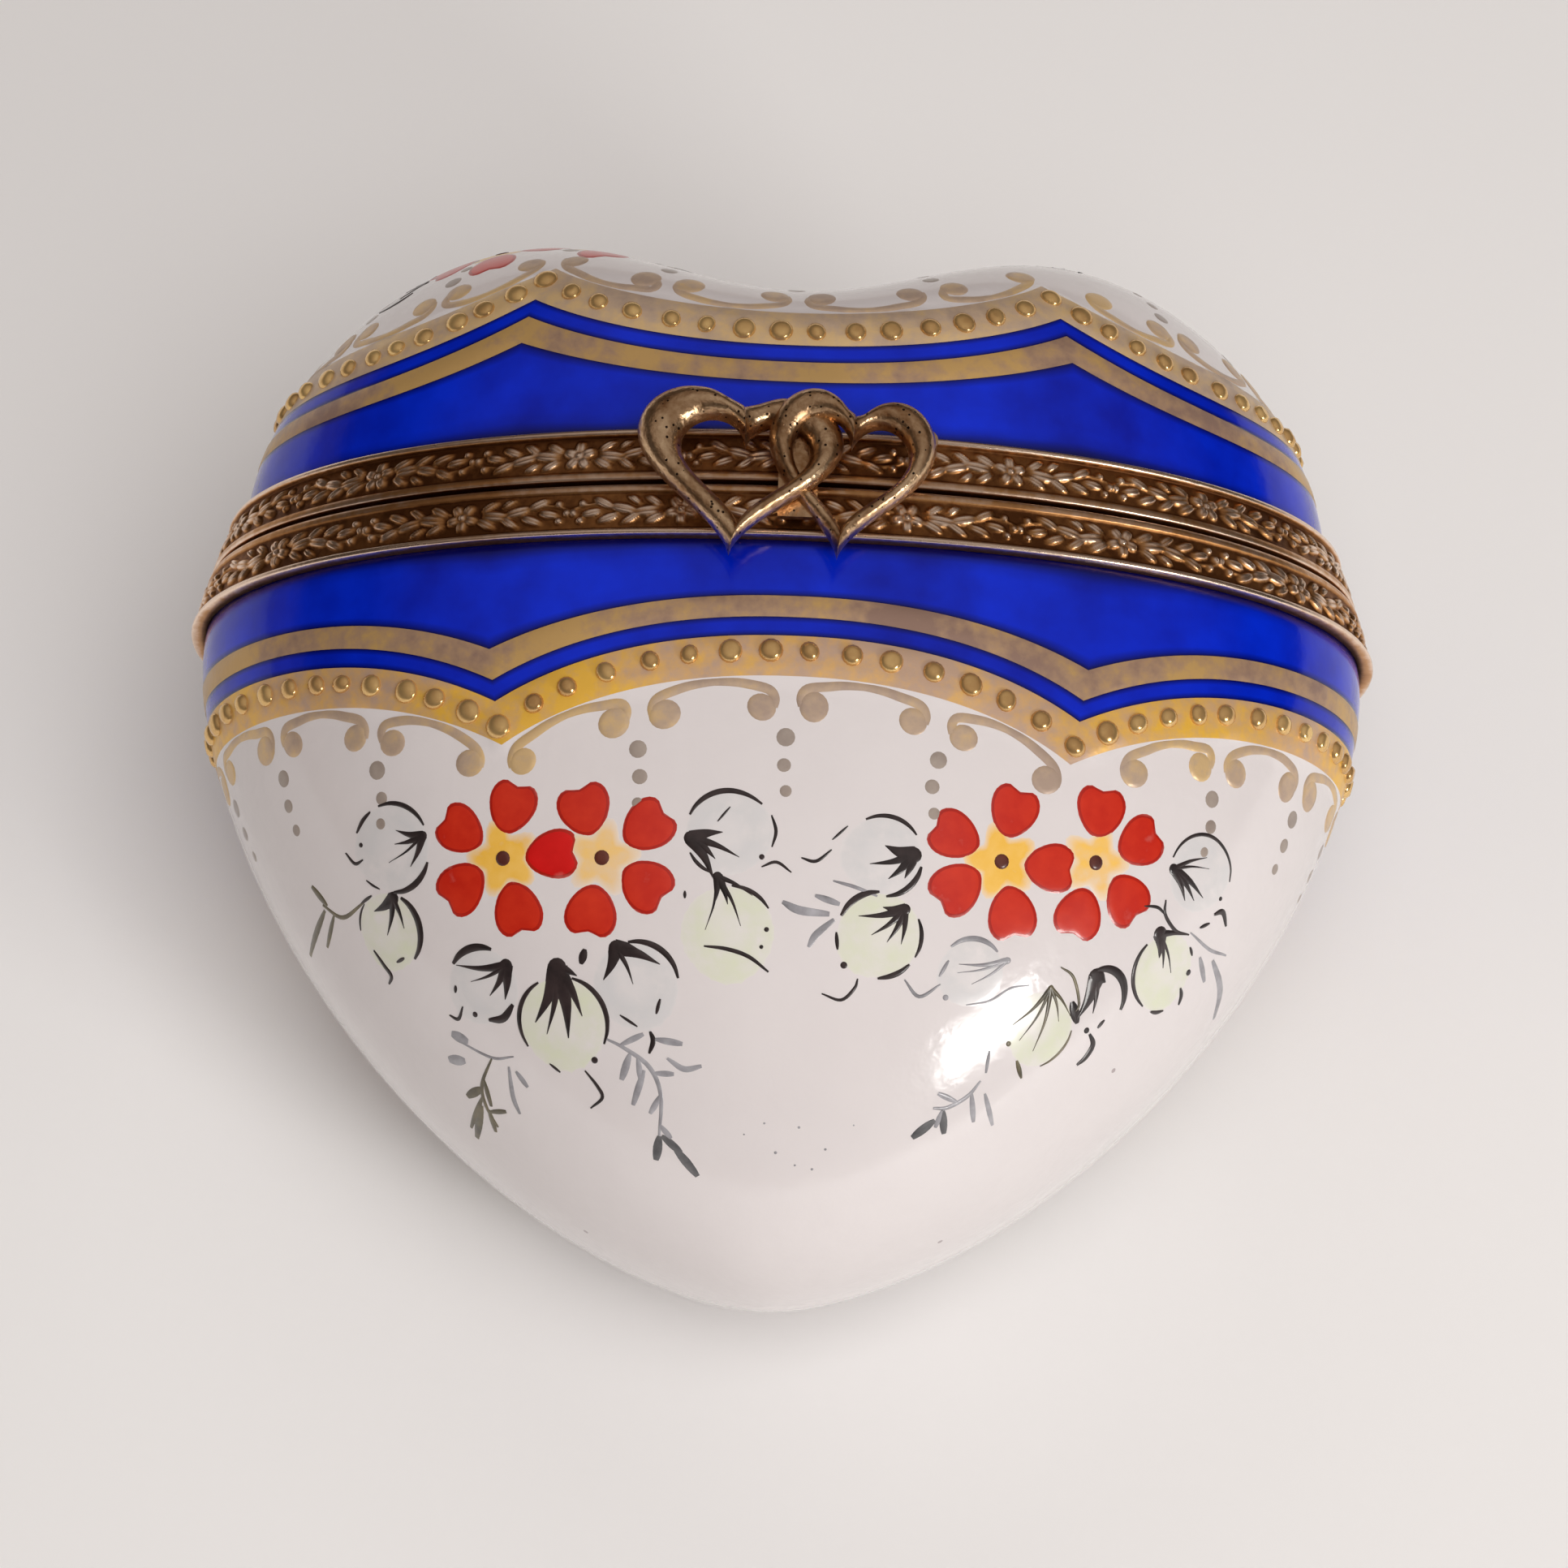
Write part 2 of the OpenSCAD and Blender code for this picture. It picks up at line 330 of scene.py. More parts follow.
def boss(job, patch, outline, look, profile, middle=(0, 0), coverAndShading=None):
    # a filled shape; profile gives (scale, lift off the surface) for each ring from its rim inwards
    outline = np.asarray(outline, float)
    middle = np.asarray(middle, float)
    rows = []
    for scale, lift in profile:
        points, normals = lay(patch, middle + outline * scale)
        rows.append(points + normals * lift)
    rings = len(rows)
    amount = np.ones(rings) if coverAndShading is None else np.asarray(coverAndShading, float)
    start = addGrid(job, np.array(rows), look, wrap=True, coverAndShading=np.repeat(amount, len(outline)))
    points, normals = lay(patch, middle)
    last = look[-1] if isinstance(look, list) else look
    addFan(job, start + (rings - 1) * len(outline), len(outline), points + normals * profile[-1][1], last,
           amount[-1])


def disc(radius, sides=14, squash=1.0):
    t = np.linspace(0, 2 * math.pi, sides, endpoint=False)
    return np.column_stack([radius * np.cos(t), radius * squash * np.sin(t)])


def dot(job, patch, radius, look, middle=(0, 0), lift=0.03):
    boss(job, patch, disc(radius), look, [(1, -0.01), (0.85, lift * 0.7), (0.45, lift)], middle)


def rotate(points, degrees):
    c, s = math.cos(math.radians(degrees)), math.sin(math.radians(degrees))
    p = np.asarray(points, float).reshape(-1, 2)
    return np.column_stack([c * p[:, 0] - s * p[:, 1], s * p[:, 0] + c * p[:, 1]])


def newMaterial(name, settings):
    # settings are plain values of the shader's own sockets
    m = bpy.data.materials.new(name)
    m.use_nodes = True
    bsdf = m.node_tree.nodes["Principled BSDF"]
    for label, value in settings.items():
        bsdf.inputs[label].default_value = value
    return m, m.node_tree, bsdf.inputs


def newGroup(name, output, **inputs):
    g = bpy.data.node_groups.new(name, "ShaderNodeTree")
    for label, value in inputs.items():
        socket = g.interface.new_socket(label, in_out="INPUT", socket_type="NodeSocketFloat")
        socket.default_value = value
    g.interface.new_socket(output, in_out="OUTPUT", socket_type="NodeSocketFloat")
    return g, g.nodes.new("NodeGroupInput").outputs, g.nodes.new("NodeGroupOutput").inputs[output]


def feed(tree, value, socket):
    # a socket takes a number, a colour or what another node puts out
    if isinstance(value, (int, float)):
        socket.default_value = value
    elif isinstance(value, tuple):
        socket.default_value = (*value, 1.0)
    else:
        tree.links.new(value, socket)


def mathNode(tree, operation, a, b, clamp=False):
    node = tree.nodes.new("ShaderNodeMath")
    node.operation = operation
    node.use_clamp = clamp
    feed(tree, a, node.inputs[0])
    feed(tree, b, node.inputs[1])
    return node.outputs[0]


def noiseNode(tree, scale, detail=3.0, rough=0.55):
    place = tree.nodes.new("ShaderNodeTexCoord")
    noise = tree.nodes.new("ShaderNodeTexNoise")
    for label, value in (("Vector", place.outputs["Object"]), ("Scale", scale), ("Detail", detail),
                         ("Roughness", rough)):
        feed(tree, value, noise.inputs[label])
    return noise.outputs["Fac"]


def rampNode(tree, factor, stops):
    ramp = tree.nodes.new("ShaderNodeValToRGB")
    ramp.color_ramp.elements.remove(ramp.color_ramp.elements[1])
    for i, (position, colour) in enumerate(stops):
        e = ramp.color_ramp.elements[0] if i == 0 else ramp.color_ramp.elements.new(position)
        e.position = position
        e.color = (*colour, 1.0)
    tree.links.new(factor, ramp.inputs["Fac"])
    return ramp.outputs["Color"]


def mixColour(tree, factor, a, b):
    node = tree.nodes.new("ShaderNodeMix")
    node.data_type = "RGBA"
    feed(tree, factor, node.inputs["Factor"])
    feed(tree, a, node.inputs[6])
    feed(tree, b, node.inputs[7])
    return node.outputs[2]


def addBump(tree, inputs, height, strength, distance):
    bump = tree.nodes.new("ShaderNodeBump")
    bump.inputs["Strength"].default_value = strength
    bump.inputs["Distance"].default_value = distance
    tree.links.new(height, bump.inputs["Height"])
    tree.links.new(bump.outputs["Normal"], inputs["Normal"])


def coverAndShadingNode(tree):
    node = tree.nodes.new("ShaderNodeAttribute")
    node.attribute_name = "coverAndShading"
    return node.outputs["Fac"]


def placeGroup(tree, group, **values):
    node = tree.nodes.new("ShaderNodeGroup")
    node.node_tree = group
    for label, value in values.items():
        node.inputs[label].default_value = value
    return node.outputs[0]


def buildMottle():
    # two noises, one broad and one fine, as an uneven mask
    g, given, mask = newGroup("mottle", "Mask", Broad=120.0, Fine=900.0, Contrast=2.0)
    broad = mathNode(g, "MULTIPLY", noiseNode(g, given["Broad"], 2.0), 0.65)
    fine = mathNode(g, "MULTIPLY", noiseNode(g, given["Fine"], 3.0), 0.35)
    uneven = mathNode(g, "SUBTRACT", mathNode(g, "ADD", broad, fine), 0.5)
    spread = mathNode(g, "MULTIPLY", uneven, given["Contrast"])
    g.links.new(mathNode(g, "ADD", spread, 0.5, clamp=True), mask)
    return g


def buildGrains():
    # scattered small specks: pinholes in glaze, pits in cast metal
    g, given, mask = newGroup("grains", "Mask", Scale=1500.0, Size=0.12)
    place = g.nodes.new("ShaderNodeTexCoord")
    cells = g.nodes.new("ShaderNodeTexVoronoi")
    g.links.new(place.outputs["Object"], cells.inputs["Vector"])
    g.links.new(given["Scale"], cells.inputs["Scale"])
    near = mathNode(g, "LESS_THAN", cells.outputs["Distance"], given["Size"])
    pick = g.nodes.new("ShaderNodeSeparateColor")
    g.links.new(cells.outputs["Color"], pick.inputs[0])
    some = mathNode(g, "GREATER_THAN", pick.outputs[0], 0.72)        # most cells stay empty
    g.links.new(mathNode(g, "MULTIPLY", near, some), mask)
    return g


def buildHandWave():
    # slow waves of a hand-finished glaze, with a finer orange peel
    g, given, height = newGroup("handWave", "Height", Broad=160.0, Peel=0.15)
    broad = noiseNode(g, given["Broad"], 1.0, 0.4)
    peel = mathNode(g, "MULTIPLY", noiseNode(g, 1400.0, 2.0, 0.5), given["Peel"])
    g.links.new(mathNode(g, "ADD", broad, peel), height)
    return g


mottle = buildMottle()
grains = buildGrains()
handWave = buildHandWave()

glaze = {
    "white": (0.78, 0.735, 0.73),
    "whiteShade": (0.72, 0.672, 0.672),
    "pinhole": (0.42, 0.36, 0.36),
    "cobalt": (0.0, 0.024, 0.66),
    "cobaltDeep": (0.0, 0.008, 0.34),
    "cobaltPaintedShade": (0.0, 0.001, 0.05),        # painted shade against the bezel and along the gold's edges, with glaze pooled at the gold; used where the point's cover and shading value is low
    "roughness": 0.14,
    "coatRoughness": 0.07,
}


def newGlaze(name, wave, coat):
    m, tree, inputs = newMaterial(name, {"Roughness": glaze["roughness"], "Coat Weight": coat,
                                         "Coat Roughness": glaze["coatRoughness"]})
    addBump(tree, inputs, placeGroup(tree, handWave, Broad=170.0, Peel=0.2), wave, 0.0004)
    return m, tree, inputs


def makeWhiteGlaze():
    m, tree, inputs = newGlaze("whiteGlaze", 0.25, 0.6)
    clouds = placeGroup(tree, mottle, Broad=60.0, Fine=400.0, Contrast=1.4)
    body = mixColour(tree, clouds, glaze["whiteShade"], glaze["white"])
    specks = placeGroup(tree, grains, Scale=420.0, Size=0.05)
    feed(tree, mixColour(tree, specks, body, glaze["pinhole"]), inputs["Base Color"])
    return m


def makeCobaltGlaze():
    m, tree, inputs = newGlaze("cobaltGlaze", 0.18, 0.2)
    uneven = placeGroup(tree, mottle, Broad=150.0, Fine=600.0, Contrast=2.6)
    body = mixColour(tree, uneven, glaze["cobaltDeep"], glaze["cobalt"])
    # the cobalt turns almost black where the cover value is low: painted shade against the bezel and along
    # the gold's edges
    feed(tree, mixColour(tree, coverAndShadingNode(tree), glaze["cobaltPaintedShade"], body), inputs["Base Color"])
    inputs["Specular IOR Level"].default_value = 0.3
    return m


def makeBisque():
    m, tree, inputs = newMaterial("bisque", {"Roughness": 0.75})
    grit = placeGroup(tree, mottle, Broad=900.0, Fine=3500.0, Contrast=2.2)
    feed(tree, mixColour(tree, grit, (0.55, 0.5, 0.45), (0.74, 0.7, 0.65)), inputs["Base Color"])
    addBump(tree, inputs, grit, 0.4, 0.0001)
    return m


goldPaint = {
    "band": [(0.56, 0.38, 0.27), (0.70, 0.43, 0.19), (0.86, 0.50, 0.07)],     # pinkish, tan, yellow
    "line": [(0.30, 0.19, 0.145), (0.42, 0.27, 0.17), (0.56, 0.35, 0.13)],
    "faded": [(0.47, 0.35, 0.275), (0.57, 0.42, 0.295), (0.70, 0.49, 0.25)],  # the lid's band, all scrolls
    "metallic": 0.25,
    "roughness": 0.42,
}


def makeGoldPaint(name, colours):
    m, tree, inputs = newMaterial(name, {"Metallic": goldPaint["metallic"]})
    patches = placeGroup(tree, mottle, Broad=150.0, Fine=1500.0, Contrast=3.4)
    feed(tree, rampNode(tree, patches, list(zip((0.2, 0.5, 0.85), colours))), inputs["Base Color"])
    rough = mathNode(tree, "ADD", mathNode(tree, "MULTIPLY", patches, -0.12), goldPaint["roughness"])
    feed(tree, rough, inputs["Roughness"])
    addBump(tree, inputs, noiseNode(tree, 2600.0), 0.25, 0.00006)        # marks of the brush
    return m


def makeBeadGold():
    m, tree, inputs = newMaterial("beadGold", {"Metallic": 0.7, "Roughness": 0.2})
    patches = placeGroup(tree, mottle, Broad=260.0, Fine=1800.0, Contrast=3.0)
    feed(tree, mixColour(tree, patches, (0.58, 0.33, 0.13), (0.90, 0.62, 0.26)), inputs["Base Color"])
    return m


def makePaint(name, thin, thick, roughness=0.35, background=None, body=0.0):
    # on-glaze enamel; where cover fades out, it thins to background, and less so with more body
    m, tree, inputs = newMaterial(name, {"Roughness": roughness, "Coat Weight": 0.4, "Coat Roughness": 0.08})
    strokes = placeGroup(tree, mottle, Broad=700.0, Fine=2600.0, Contrast=2.4)
    colour = mixColour(tree, strokes, thin, thick)
    if background:
        laid = mathNode(tree, "ADD", strokes, body)
        uneven = mathNode(tree, "MULTIPLY", coverAndShadingNode(tree), laid, clamp=True)
        colour = mixColour(tree, uneven, background, colour)
    feed(tree, colour, inputs["Base Color"])
    addBump(tree, inputs, strokes, 0.15, 0.00004)
    return m


def makeBezelBronze():
    # cover holds the relief: dark grime with painted shade in the ground, bronze on the slopes, worn tops
    # with a painted highlight
    m, tree, inputs = newMaterial("bezelBronze", {"Metallic": 1.0})
    rub = placeGroup(tree, mottle, Broad=220.0, Fine=2400.0, Contrast=2.2)
    uneven = mathNode(tree, "MULTIPLY", mathNode(tree, "SUBTRACT", rub, 0.5), 0.5)
    wearAndPaintedLight = mathNode(tree, "ADD", coverAndShadingNode(tree), uneven, clamp=True)
    colour = rampNode(tree, wearAndPaintedLight, [(0.05, (0.16, 0.062, 0.022)), (0.3, (0.42, 0.19, 0.065)),
                                   (0.55, (0.62, 0.33, 0.14)), (0.85, (0.95, 0.75, 0.60))])
    feed(tree, colour, inputs["Base Color"])
    rough = mathNode(tree, "SUBTRACT", 0.52, mathNode(tree, "MULTIPLY", wearAndPaintedLight, 0.26))
    feed(tree, rough, inputs["Roughness"])
    addBump(tree, inputs, noiseNode(tree, 3800.0), 0.3, 0.00004)         # fine scratches
    return m


def makeClaspBrass(name, dark, light, roughness):
    m, tree, inputs = newMaterial(name, {"Metallic": 1.0})
    tarnish = placeGroup(tree, mottle, Broad=420.0, Fine=3000.0, Contrast=3.2)
    pits = placeGroup(tree, grains, Scale=4200.0, Size=0.25)
    metal = mixColour(tree, tarnish, dark, light)
    feed(tree, mixColour(tree, pits, metal, (0.05, 0.03, 0.02)), inputs["Base Color"])
    rough = mathNode(tree, "SUBTRACT", roughness, mathNode(tree, "MULTIPLY", tarnish, 0.08))
    feed(tree, rough, inputs["Roughness"])
    uneven = mathNode(tree, "SUBTRACT", tarnish, mathNode(tree, "MULTIPLY", pits, 0.6))
    addBump(tree, inputs, uneven, 0.45, 0.0001)
    return m


whiteGlaze = makeWhiteGlaze()
cobaltGlaze = makeCobaltGlaze()
bisque = makeBisque()
goldBand = makeGoldPaint("goldBand", goldPaint["band"])
goldLine = makeGoldPaint("goldLine", goldPaint["line"])
goldFaded = makeGoldPaint("goldFaded", goldPaint["faded"])
beadGold = makeBeadGold()
bezelBronze = makeBezelBronze()
claspBrass = makeClaspBrass("claspBrass", (0.36, 0.18, 0.075), (0.96, 0.70, 0.44), 0.34)
hingeBronze = makeClaspBrass("hingeBronze", (0.26, 0.12, 0.05), (0.66, 0.41, 0.21), 0.38)

petalFuzz = (0.74, 0.30, 0.26)
paints = {
    # thin colour, thick colour, roughness, and what a fading edge thins to, with its body
    "petalRed": ((0.50, 0.012, 0.004), (0.62, 0.032, 0.010), 0.3, petalFuzz, 0.8),
    "petalBright": ((0.56, 0.002, 0.002), (0.66, 0.006, 0.006), 0.3, petalFuzz, 0.8),
    "petalRim": ((0.33, 0.006, 0.003), (0.46, 0.016, 0.006), 0.3, petalFuzz, 0.8),
    "centreYellow": ((0.86, 0.47, 0.04), (0.92, 0.57, 0.14), 0.35, glaze["white"], 0.7),
    "pistilBrown": ((0.05, 0.012, 0.012), (0.14, 0.035, 0.02)),
    "leafGreen": ((0.60, 0.66, 0.42), (0.70, 0.73, 0.54), 0.25, glaze["white"], 0.1),
    "leafGrey": ((0.50, 0.52, 0.52), (0.66, 0.65, 0.66), 0.25, glaze["white"], 0.1),
    "inkBlack": ((0.006, 0.005, 0.006), (0.045, 0.03, 0.03)),
    "sprigGrey": ((0.17, 0.165, 0.175), (0.46, 0.45, 0.48)),
    "sprigDark": ((0.045, 0.045, 0.05), (0.20, 0.195, 0.20)),
    "sprigOlive": ((0.035, 0.03, 0.02), (0.20, 0.165, 0.09)),
    "dotGold": ((0.27, 0.215, 0.185), (0.40, 0.335, 0.285)),
}
paint = {name: makePaint(name, *values) for name, values in paints.items()}
print("stage: materials made")


# the painted bands have scalloped edges that mirror each other on base and lid
bands = {
    "valley": 61.0,                  # where two arches meet, as an angle round the oval
    "lineTop": (4.8, 2.1),           # distance from the parting line, and how much more it is at a valley
    "lineBottom": (5.7, 2.5),
    "stripeBottom": (6.5, 2.6),
    "bandBottom": (8.2, 2.7),
    "beadRow": (7.15, 3.0),
    "goldLift": 0.035,
}


def scallop(t):
    t = np.abs((np.asarray(t, float) + 180) % 360 - 180)
    t = np.minimum(t, 180 - t)
    v = bands["valley"]
    return np.where(t > v, ((90 - t) / (90 - v)) ** 2.1, (t / v) ** 5)


def bandY(edge, t, side):
    top, drop = bands[edge]
    return side * (top + drop * scallop(t))


def lidScale(t, y):
    low = np.full(len(t), 0.45)
    high = np.ones(len(t))
    for _ in range(34):
        middle = (low + high) / 2
        above = domeRing(t, middle, outerDome)[:, 1] > y
        low = np.where(above, middle, low)
        high = np.where(above, high, middle)
    return (low + high) / 2


def onLid(t, y):
    t = np.asarray(t, float)
    y = np.asarray(y, float) + 0 * t
    rim = heart["bezelHeight"]
    flat = onBase(t, np.minimum(y, rim))
    domed = domeRing(t, lidScale(t, y), outerDome)
    return np.where((y > rim)[:, None], domed, flat)


shells = {
    "base": {"side": -1, "on": onBase, "field": baseField},
    "lid": {"side": 1, "on": onLid, "field": lidField},
}
columns = np.arange(heart["columns"]) * 360.0 / heart["columns"]

# materials of a shell, in the order in which its piece holds them
white, cobalt, gold, raw, line = range(5)


def outerRows(shell):
    # rows from the rim to the lower edge of the bead band, the material of each strip, and each row's cover
    # value, which is low where shade is painted on the cobalt
    side, on, field = shell["side"], shell["on"], shell["field"]
    rimY = side * heart["rimInset"]
    bezelY = side * heart["bezelHeight"]
    lift = bands["goldLift"]
    # each level: its height, how far it stands off, its material, and how bright the cobalt is painted there,
    # darker as painted shade
    levels = [(rimY, 0, raw, 1), ((rimY + bezelY) / 2, 0, cobalt, 1), (bezelY, 0, cobalt, 0)]
    # each zone: its edges and material, and its steps as (part of the way, stand-off, brightness); the cobalt
    # is darkened with painted shade against the bezel and along the gold's edges
    zones = [
        (None, "lineTop", cobalt, [(0.06, 0, 0.1), (0.18, 0, 0.8), (0.3, 0, 1), (0.6, 0, 1),
                                   (0.88, 0, 1), (0.96, 0, 0.4), (1, 0, 0)]),
        ("lineTop", "lineBottom", line, [(0.1, lift, 1), (0.5, lift * 1.2, 1), (0.9, lift, 1), (1, 0, 0)]),
        ("lineBottom", "stripeBottom", cobalt, [(0.12, 0, 0.4), (0.3, 0, 0.95), (0.7, 0, 0.95),
                                                (0.88, 0, 0.4), (1, 0, 0)]),
        ("stripeBottom", "bandBottom", gold, [(0.05, lift, 1), (0.35, lift * 1.1, 1),
                                              (0.65, lift * 1.1, 1), (0.95, lift, 1), (1, 0, 1)]),
    ]
    for first, last, look, steps in zones:
        a = bandY(first, columns, side) if first else bezelY
        b = bandY(last, columns, side)
        wobble = handWobble(columns, 40 * len(levels))
        levels += [(a + (b - a) * f + wobble * (0 < f < 1) * (look in (gold, line)), up, look, unshaded)
                   for f, up, unshaded in steps]
    rows = []
    for y, up, look, unshaded in levels:
        points = on(columns, y)
        if up:
            points = points + normalsAt(field, points) * up
        rows.append(points)
    return rows, [level[2] for level in levels[1:]], [level[3] for level in levels]


def handWobble(t, phase):
    # slight unevenness of a line drawn by hand, in millimetres
    return 0.035 * np.sin(np.radians(t * 23 + phase)) + 0.025 * np.sin(np.radians(t * 41 + 2 * phase))


def faceOutwards(piece):
    work = bmesh.new()
    work.from_mesh(piece.data)
    bmesh.ops.recalc_face_normals(work, faces=work.faces)
    work.to_mesh(piece.data)
    work.free()


def makePorcelain(name, band, outside, tip, inside, insideTip, ground=False):
    # the painted outside from its rim, the white outside to its tip, the inside, and the bare rim between
    rows, looks, unshaded = outerRows(shells[name])
    rows += outside
    looks += [white] * len(outside)
    n = len(columns)
    job = newJob()
    start = addGrid(job, rows, looks, wrap=True, coverAndShading=np.repeat(unshaded + [1] * len(outside), n))
    addFan(job, start + (len(rows) - 1) * n, n, [0, tip, 0], white)
    insideStart = addGrid(job, inside, white, wrap=True)
    addFan(job, insideStart, n, [0, insideTip, 0], white, flip=True)
    joinRings(job, insideStart + (len(inside) - 1) * n, start, n, raw)
    piece = makePiece(job, name + "Porcelain", [whiteGlaze, cobaltGlaze, band, bisque, goldLine], name,
                      replaced=[name + "_shell"], ground=ground)
    faceOutwards(piece)
    return piece


def makeBase():
    widest, drop, wall = heart["widestY"], heart["pointDrop"], heart["wall"]
    edge = np.arcsin((widest - bandY("bandBottom", columns, -1)) / drop)
    count = heart["baseRows"]
    angles = [edge + (math.pi / 2 - edge) * j / count for j in range(1, count)]
    outside = [onBase(columns, widest - drop * np.sin(angle)) for angle in angles]
    count = heart["baseInsideRows"]
    levels = [widest - (drop - wall) * math.cos(math.pi / 2 * j / count) for j in range(1, count)]
    levels += [widest, -2.4, -1.6, -heart["rimInset"]]
    inside = [onBase(columns, y, wall) for y in levels]
    piece = makePorcelain("base", goldBand, outside, widest - drop, inside, widest - (drop - wall), True)
    for face in piece.data.polygons:
        if all(piece.data.vertices[i].co.z < 1e-6 for i in face.vertices):
            face.material_index = raw        # the ground spot that it lies on is left unglazed


def makeLid():
    edge = lidScale(columns, bandY("bandBottom", columns, 1))
    count = heart["lidRows"]
    outside = [domeRing(columns, edge * (1 - (j / count) ** 1.15), outerDome) for j in range(1, count)]
    count = heart["lidInsideRows"]
    inside = [domeRing(columns, math.sin(math.pi / 2 * j / count), innerDome) for j in range(1, count + 1)]
    inside.append(onBase(columns, heart["rimInset"], heart["wall"]))
    rim = heart["bezelHeight"]
    makePorcelain("lid", goldFaded, outside, rim + heart["lobeRise"] - heart["cleftDrop"], inside,
                  rim + innerDome[2] - innerDome[3])


makeBase()
makeLid()
print("stage: porcelain made")


def edgeWalk(shell, edge):
    # angles and running length once round a scalloped edge, from its first valley
    t = np.arange(0, 360.001, 0.25) + bands["valley"]
    points = shell["on"](t, bandY(edge, t, shell["side"]))
    length = np.concatenate([[0], np.cumsum(np.linalg.norm(np.diff(points, axis=0), axis=1))])
    return t, length


def archEnds(walk):
    # running lengths of the four valleys, back to the first
    v = bands["valley"]
    return [float(np.interp(a, *walk)) for a in (v, 180 - v, 180 + v, 360 - v, 360 + v)]


def edgePatch(shell, edge, walk, s):
    t = np.interp(s % walk[1][-1], walk[1], walk[0])
    return patchFrom(shell["field"], shell["on"](np.array([t]), bandY(edge, t, shell["side"]))[0])


beadRow = {
    "radius": 0.49,
    "height": 0.31,
    "perFrontArch": 15,
    "perSideArch": 26,
    "jitter": 0.13,
    "profile": [(1, -0.02), (0.97, 0.12), (0.86, 0.22), (0.62, 0.31), (0.3, 0.35)],
}


def makeBeads(body):
    shell = shells[body]
    job = newJob()
    walk = edgeWalk(shell, "beadRow")
    ends = archEnds(walk)
    dice = np.random.default_rng(7)
    scale = beadRow["height"] / beadRow["profile"][-1][1]
    for i in range(4):
        count = beadRow["perFrontArch"] if i % 2 == 0 else beadRow["perSideArch"]
        for k in range(count):
            shift = 0 if k == 0 else dice.uniform(-1, 1) * beadRow["jitter"]
            s = ends[i] + (ends[i + 1] - ends[i]) * k / count + shift
            size = beadRow["radius"] * dice.uniform(0.86, 1.08)
            profile = [(a, b * scale * dice.uniform(0.9, 1.1)) for a, b in beadRow["profile"]]
            outline = rotate(disc(size, 14, dice.uniform(0.88, 1.05)), dice.uniform(0, 180))
            boss(job, edgePatch(shell, "beadRow", walk, s), outline, 0, profile)
    makePiece(job, body + "Beads", [beadGold], body)


scrolls = {
    "perFrontArch": 4,
    "perSideArch": 7,
    "span": 0.33,             # a bracket's ends, as parts of its pitch either side of the middle
    "ballRadius": 0.66,
    "ballDepth": 1.3,
    "line": 0.38,
    "valleyGaps": [(0, 0), (0.7, 0), (0, 0), (0, 2.2)],      # wider gaps before and after an arch's row
    "dots": [(2.55, 0.42), (3.7, 0.33), (4.75, 0.27)],       # depth and radius
}


def makeScrolls(body):
    shell = shells[body]
    job = newJob()
    walk = edgeWalk(shell, "bandBottom")
    ends = archEnds(walk)
    dice = np.random.default_rng(11)

    def spot(s, depth):
        # patch on the white, depth away from the band's edge
        patch = edgePatch(shell, "bandBottom", walk, s)
        return patchFrom(shell["field"], lay(patch, [0, shell["side"] * depth])[0][0])

    for i in range(4):
        count = scrolls["perFrontArch"] if i % 2 == 0 else scrolls["perSideArch"]
        before, after = scrolls["valleyGaps"][i]
        pitch = (ends[i + 1] - ends[i] - before - after) / count
        for k in range(count):
            middle = ends[i] + before + pitch * (k + 0.5)
            half = pitch * scrolls["span"] * dice.uniform(0.94, 1.04)
            ball = scrolls["ballRadius"]
            deep = scrolls["ballDepth"] + dice.uniform(-0.12, 0.12)
            hook = [(half + 0.72 * ball, deep), (half + 0.8 * ball, deep - 0.38),
                    (half + 0.4 * ball, deep - 0.74), (half * 0.72, 0.36), (half * 0.4, 0.26)]
            line = smoothLine([(-x, d) for x, d in hook] + [(0, 0.22)] + hook[::-1], 4)
            patches = [spot(middle + s, d) for s, d in line]
            f = np.abs(np.linspace(-1, 1, len(line)))
            widths = scrolls["line"] * (0.85 + 0.3 * np.sin(3 * f) + 0.1 * f ** 4)
            centres, normals = (np.array([p[key] for p in patches]) for key in ("at", "out"))
            ribbon(job, centres, normals, widths, 0)
            for end in (-1, 1):
                outline = rotate(disc(ball * dice.uniform(0.9, 1.05), 18, 0.92), dice.uniform(0, 180))
                boss(job, spot(middle + end * half, deep), outline, 0,
                     [(1, -0.01), (0.9, 0.028), (0.6, 0.036), (0.25, 0.036)])
            # a short column of dots hangs in the gap before the next bracket, and one dot or none at a valley
            shown = 3 if k < count - 1 else 1 if i != 3 else 0
            for depth, radius in scrolls["dots"][:shown]:
                place = spot(middle + pitch / 2 + dice.uniform(-0.12, 0.12), depth)
                dot(job, place, radius * dice.uniform(0.9, 1.05), 1, lift=0.012)
    makePiece(job, body + "Scrolls", [goldFaded, paint["dotGold"]], body)


for name in shells:
    makeBeads(name)
for name in shells:
    makeScrolls(name)
print("stage: gold beads and scrolls made")

petal = {
    "width": 2.25,
    "height": 2.3,
    "radius": 2.2,               # its middle's distance from the flower's centre
    "notch": 0.3,
    "notchWidth": 0.36,          # in radians round the petal
    "swell": 0.2,                # how much wider it is outside than inside
    "star": (1.45, 0.35),        # the yellow's radius, and how far its points reach
    "pistil": 0.33,
    # rings of a petal from its faded rim inwards, as (scale, lift)
    "profile": [(1.08, -0.012), (1.0, 0.006), (0.9, 0.018), (0.72, 0.022), (0.4, 0.024), (0.15, 0.024)],
    "starProfile": [(1, -0.01), (0.85, 0.006), (0.6, 0.008), (0.3, 0.008)],
}


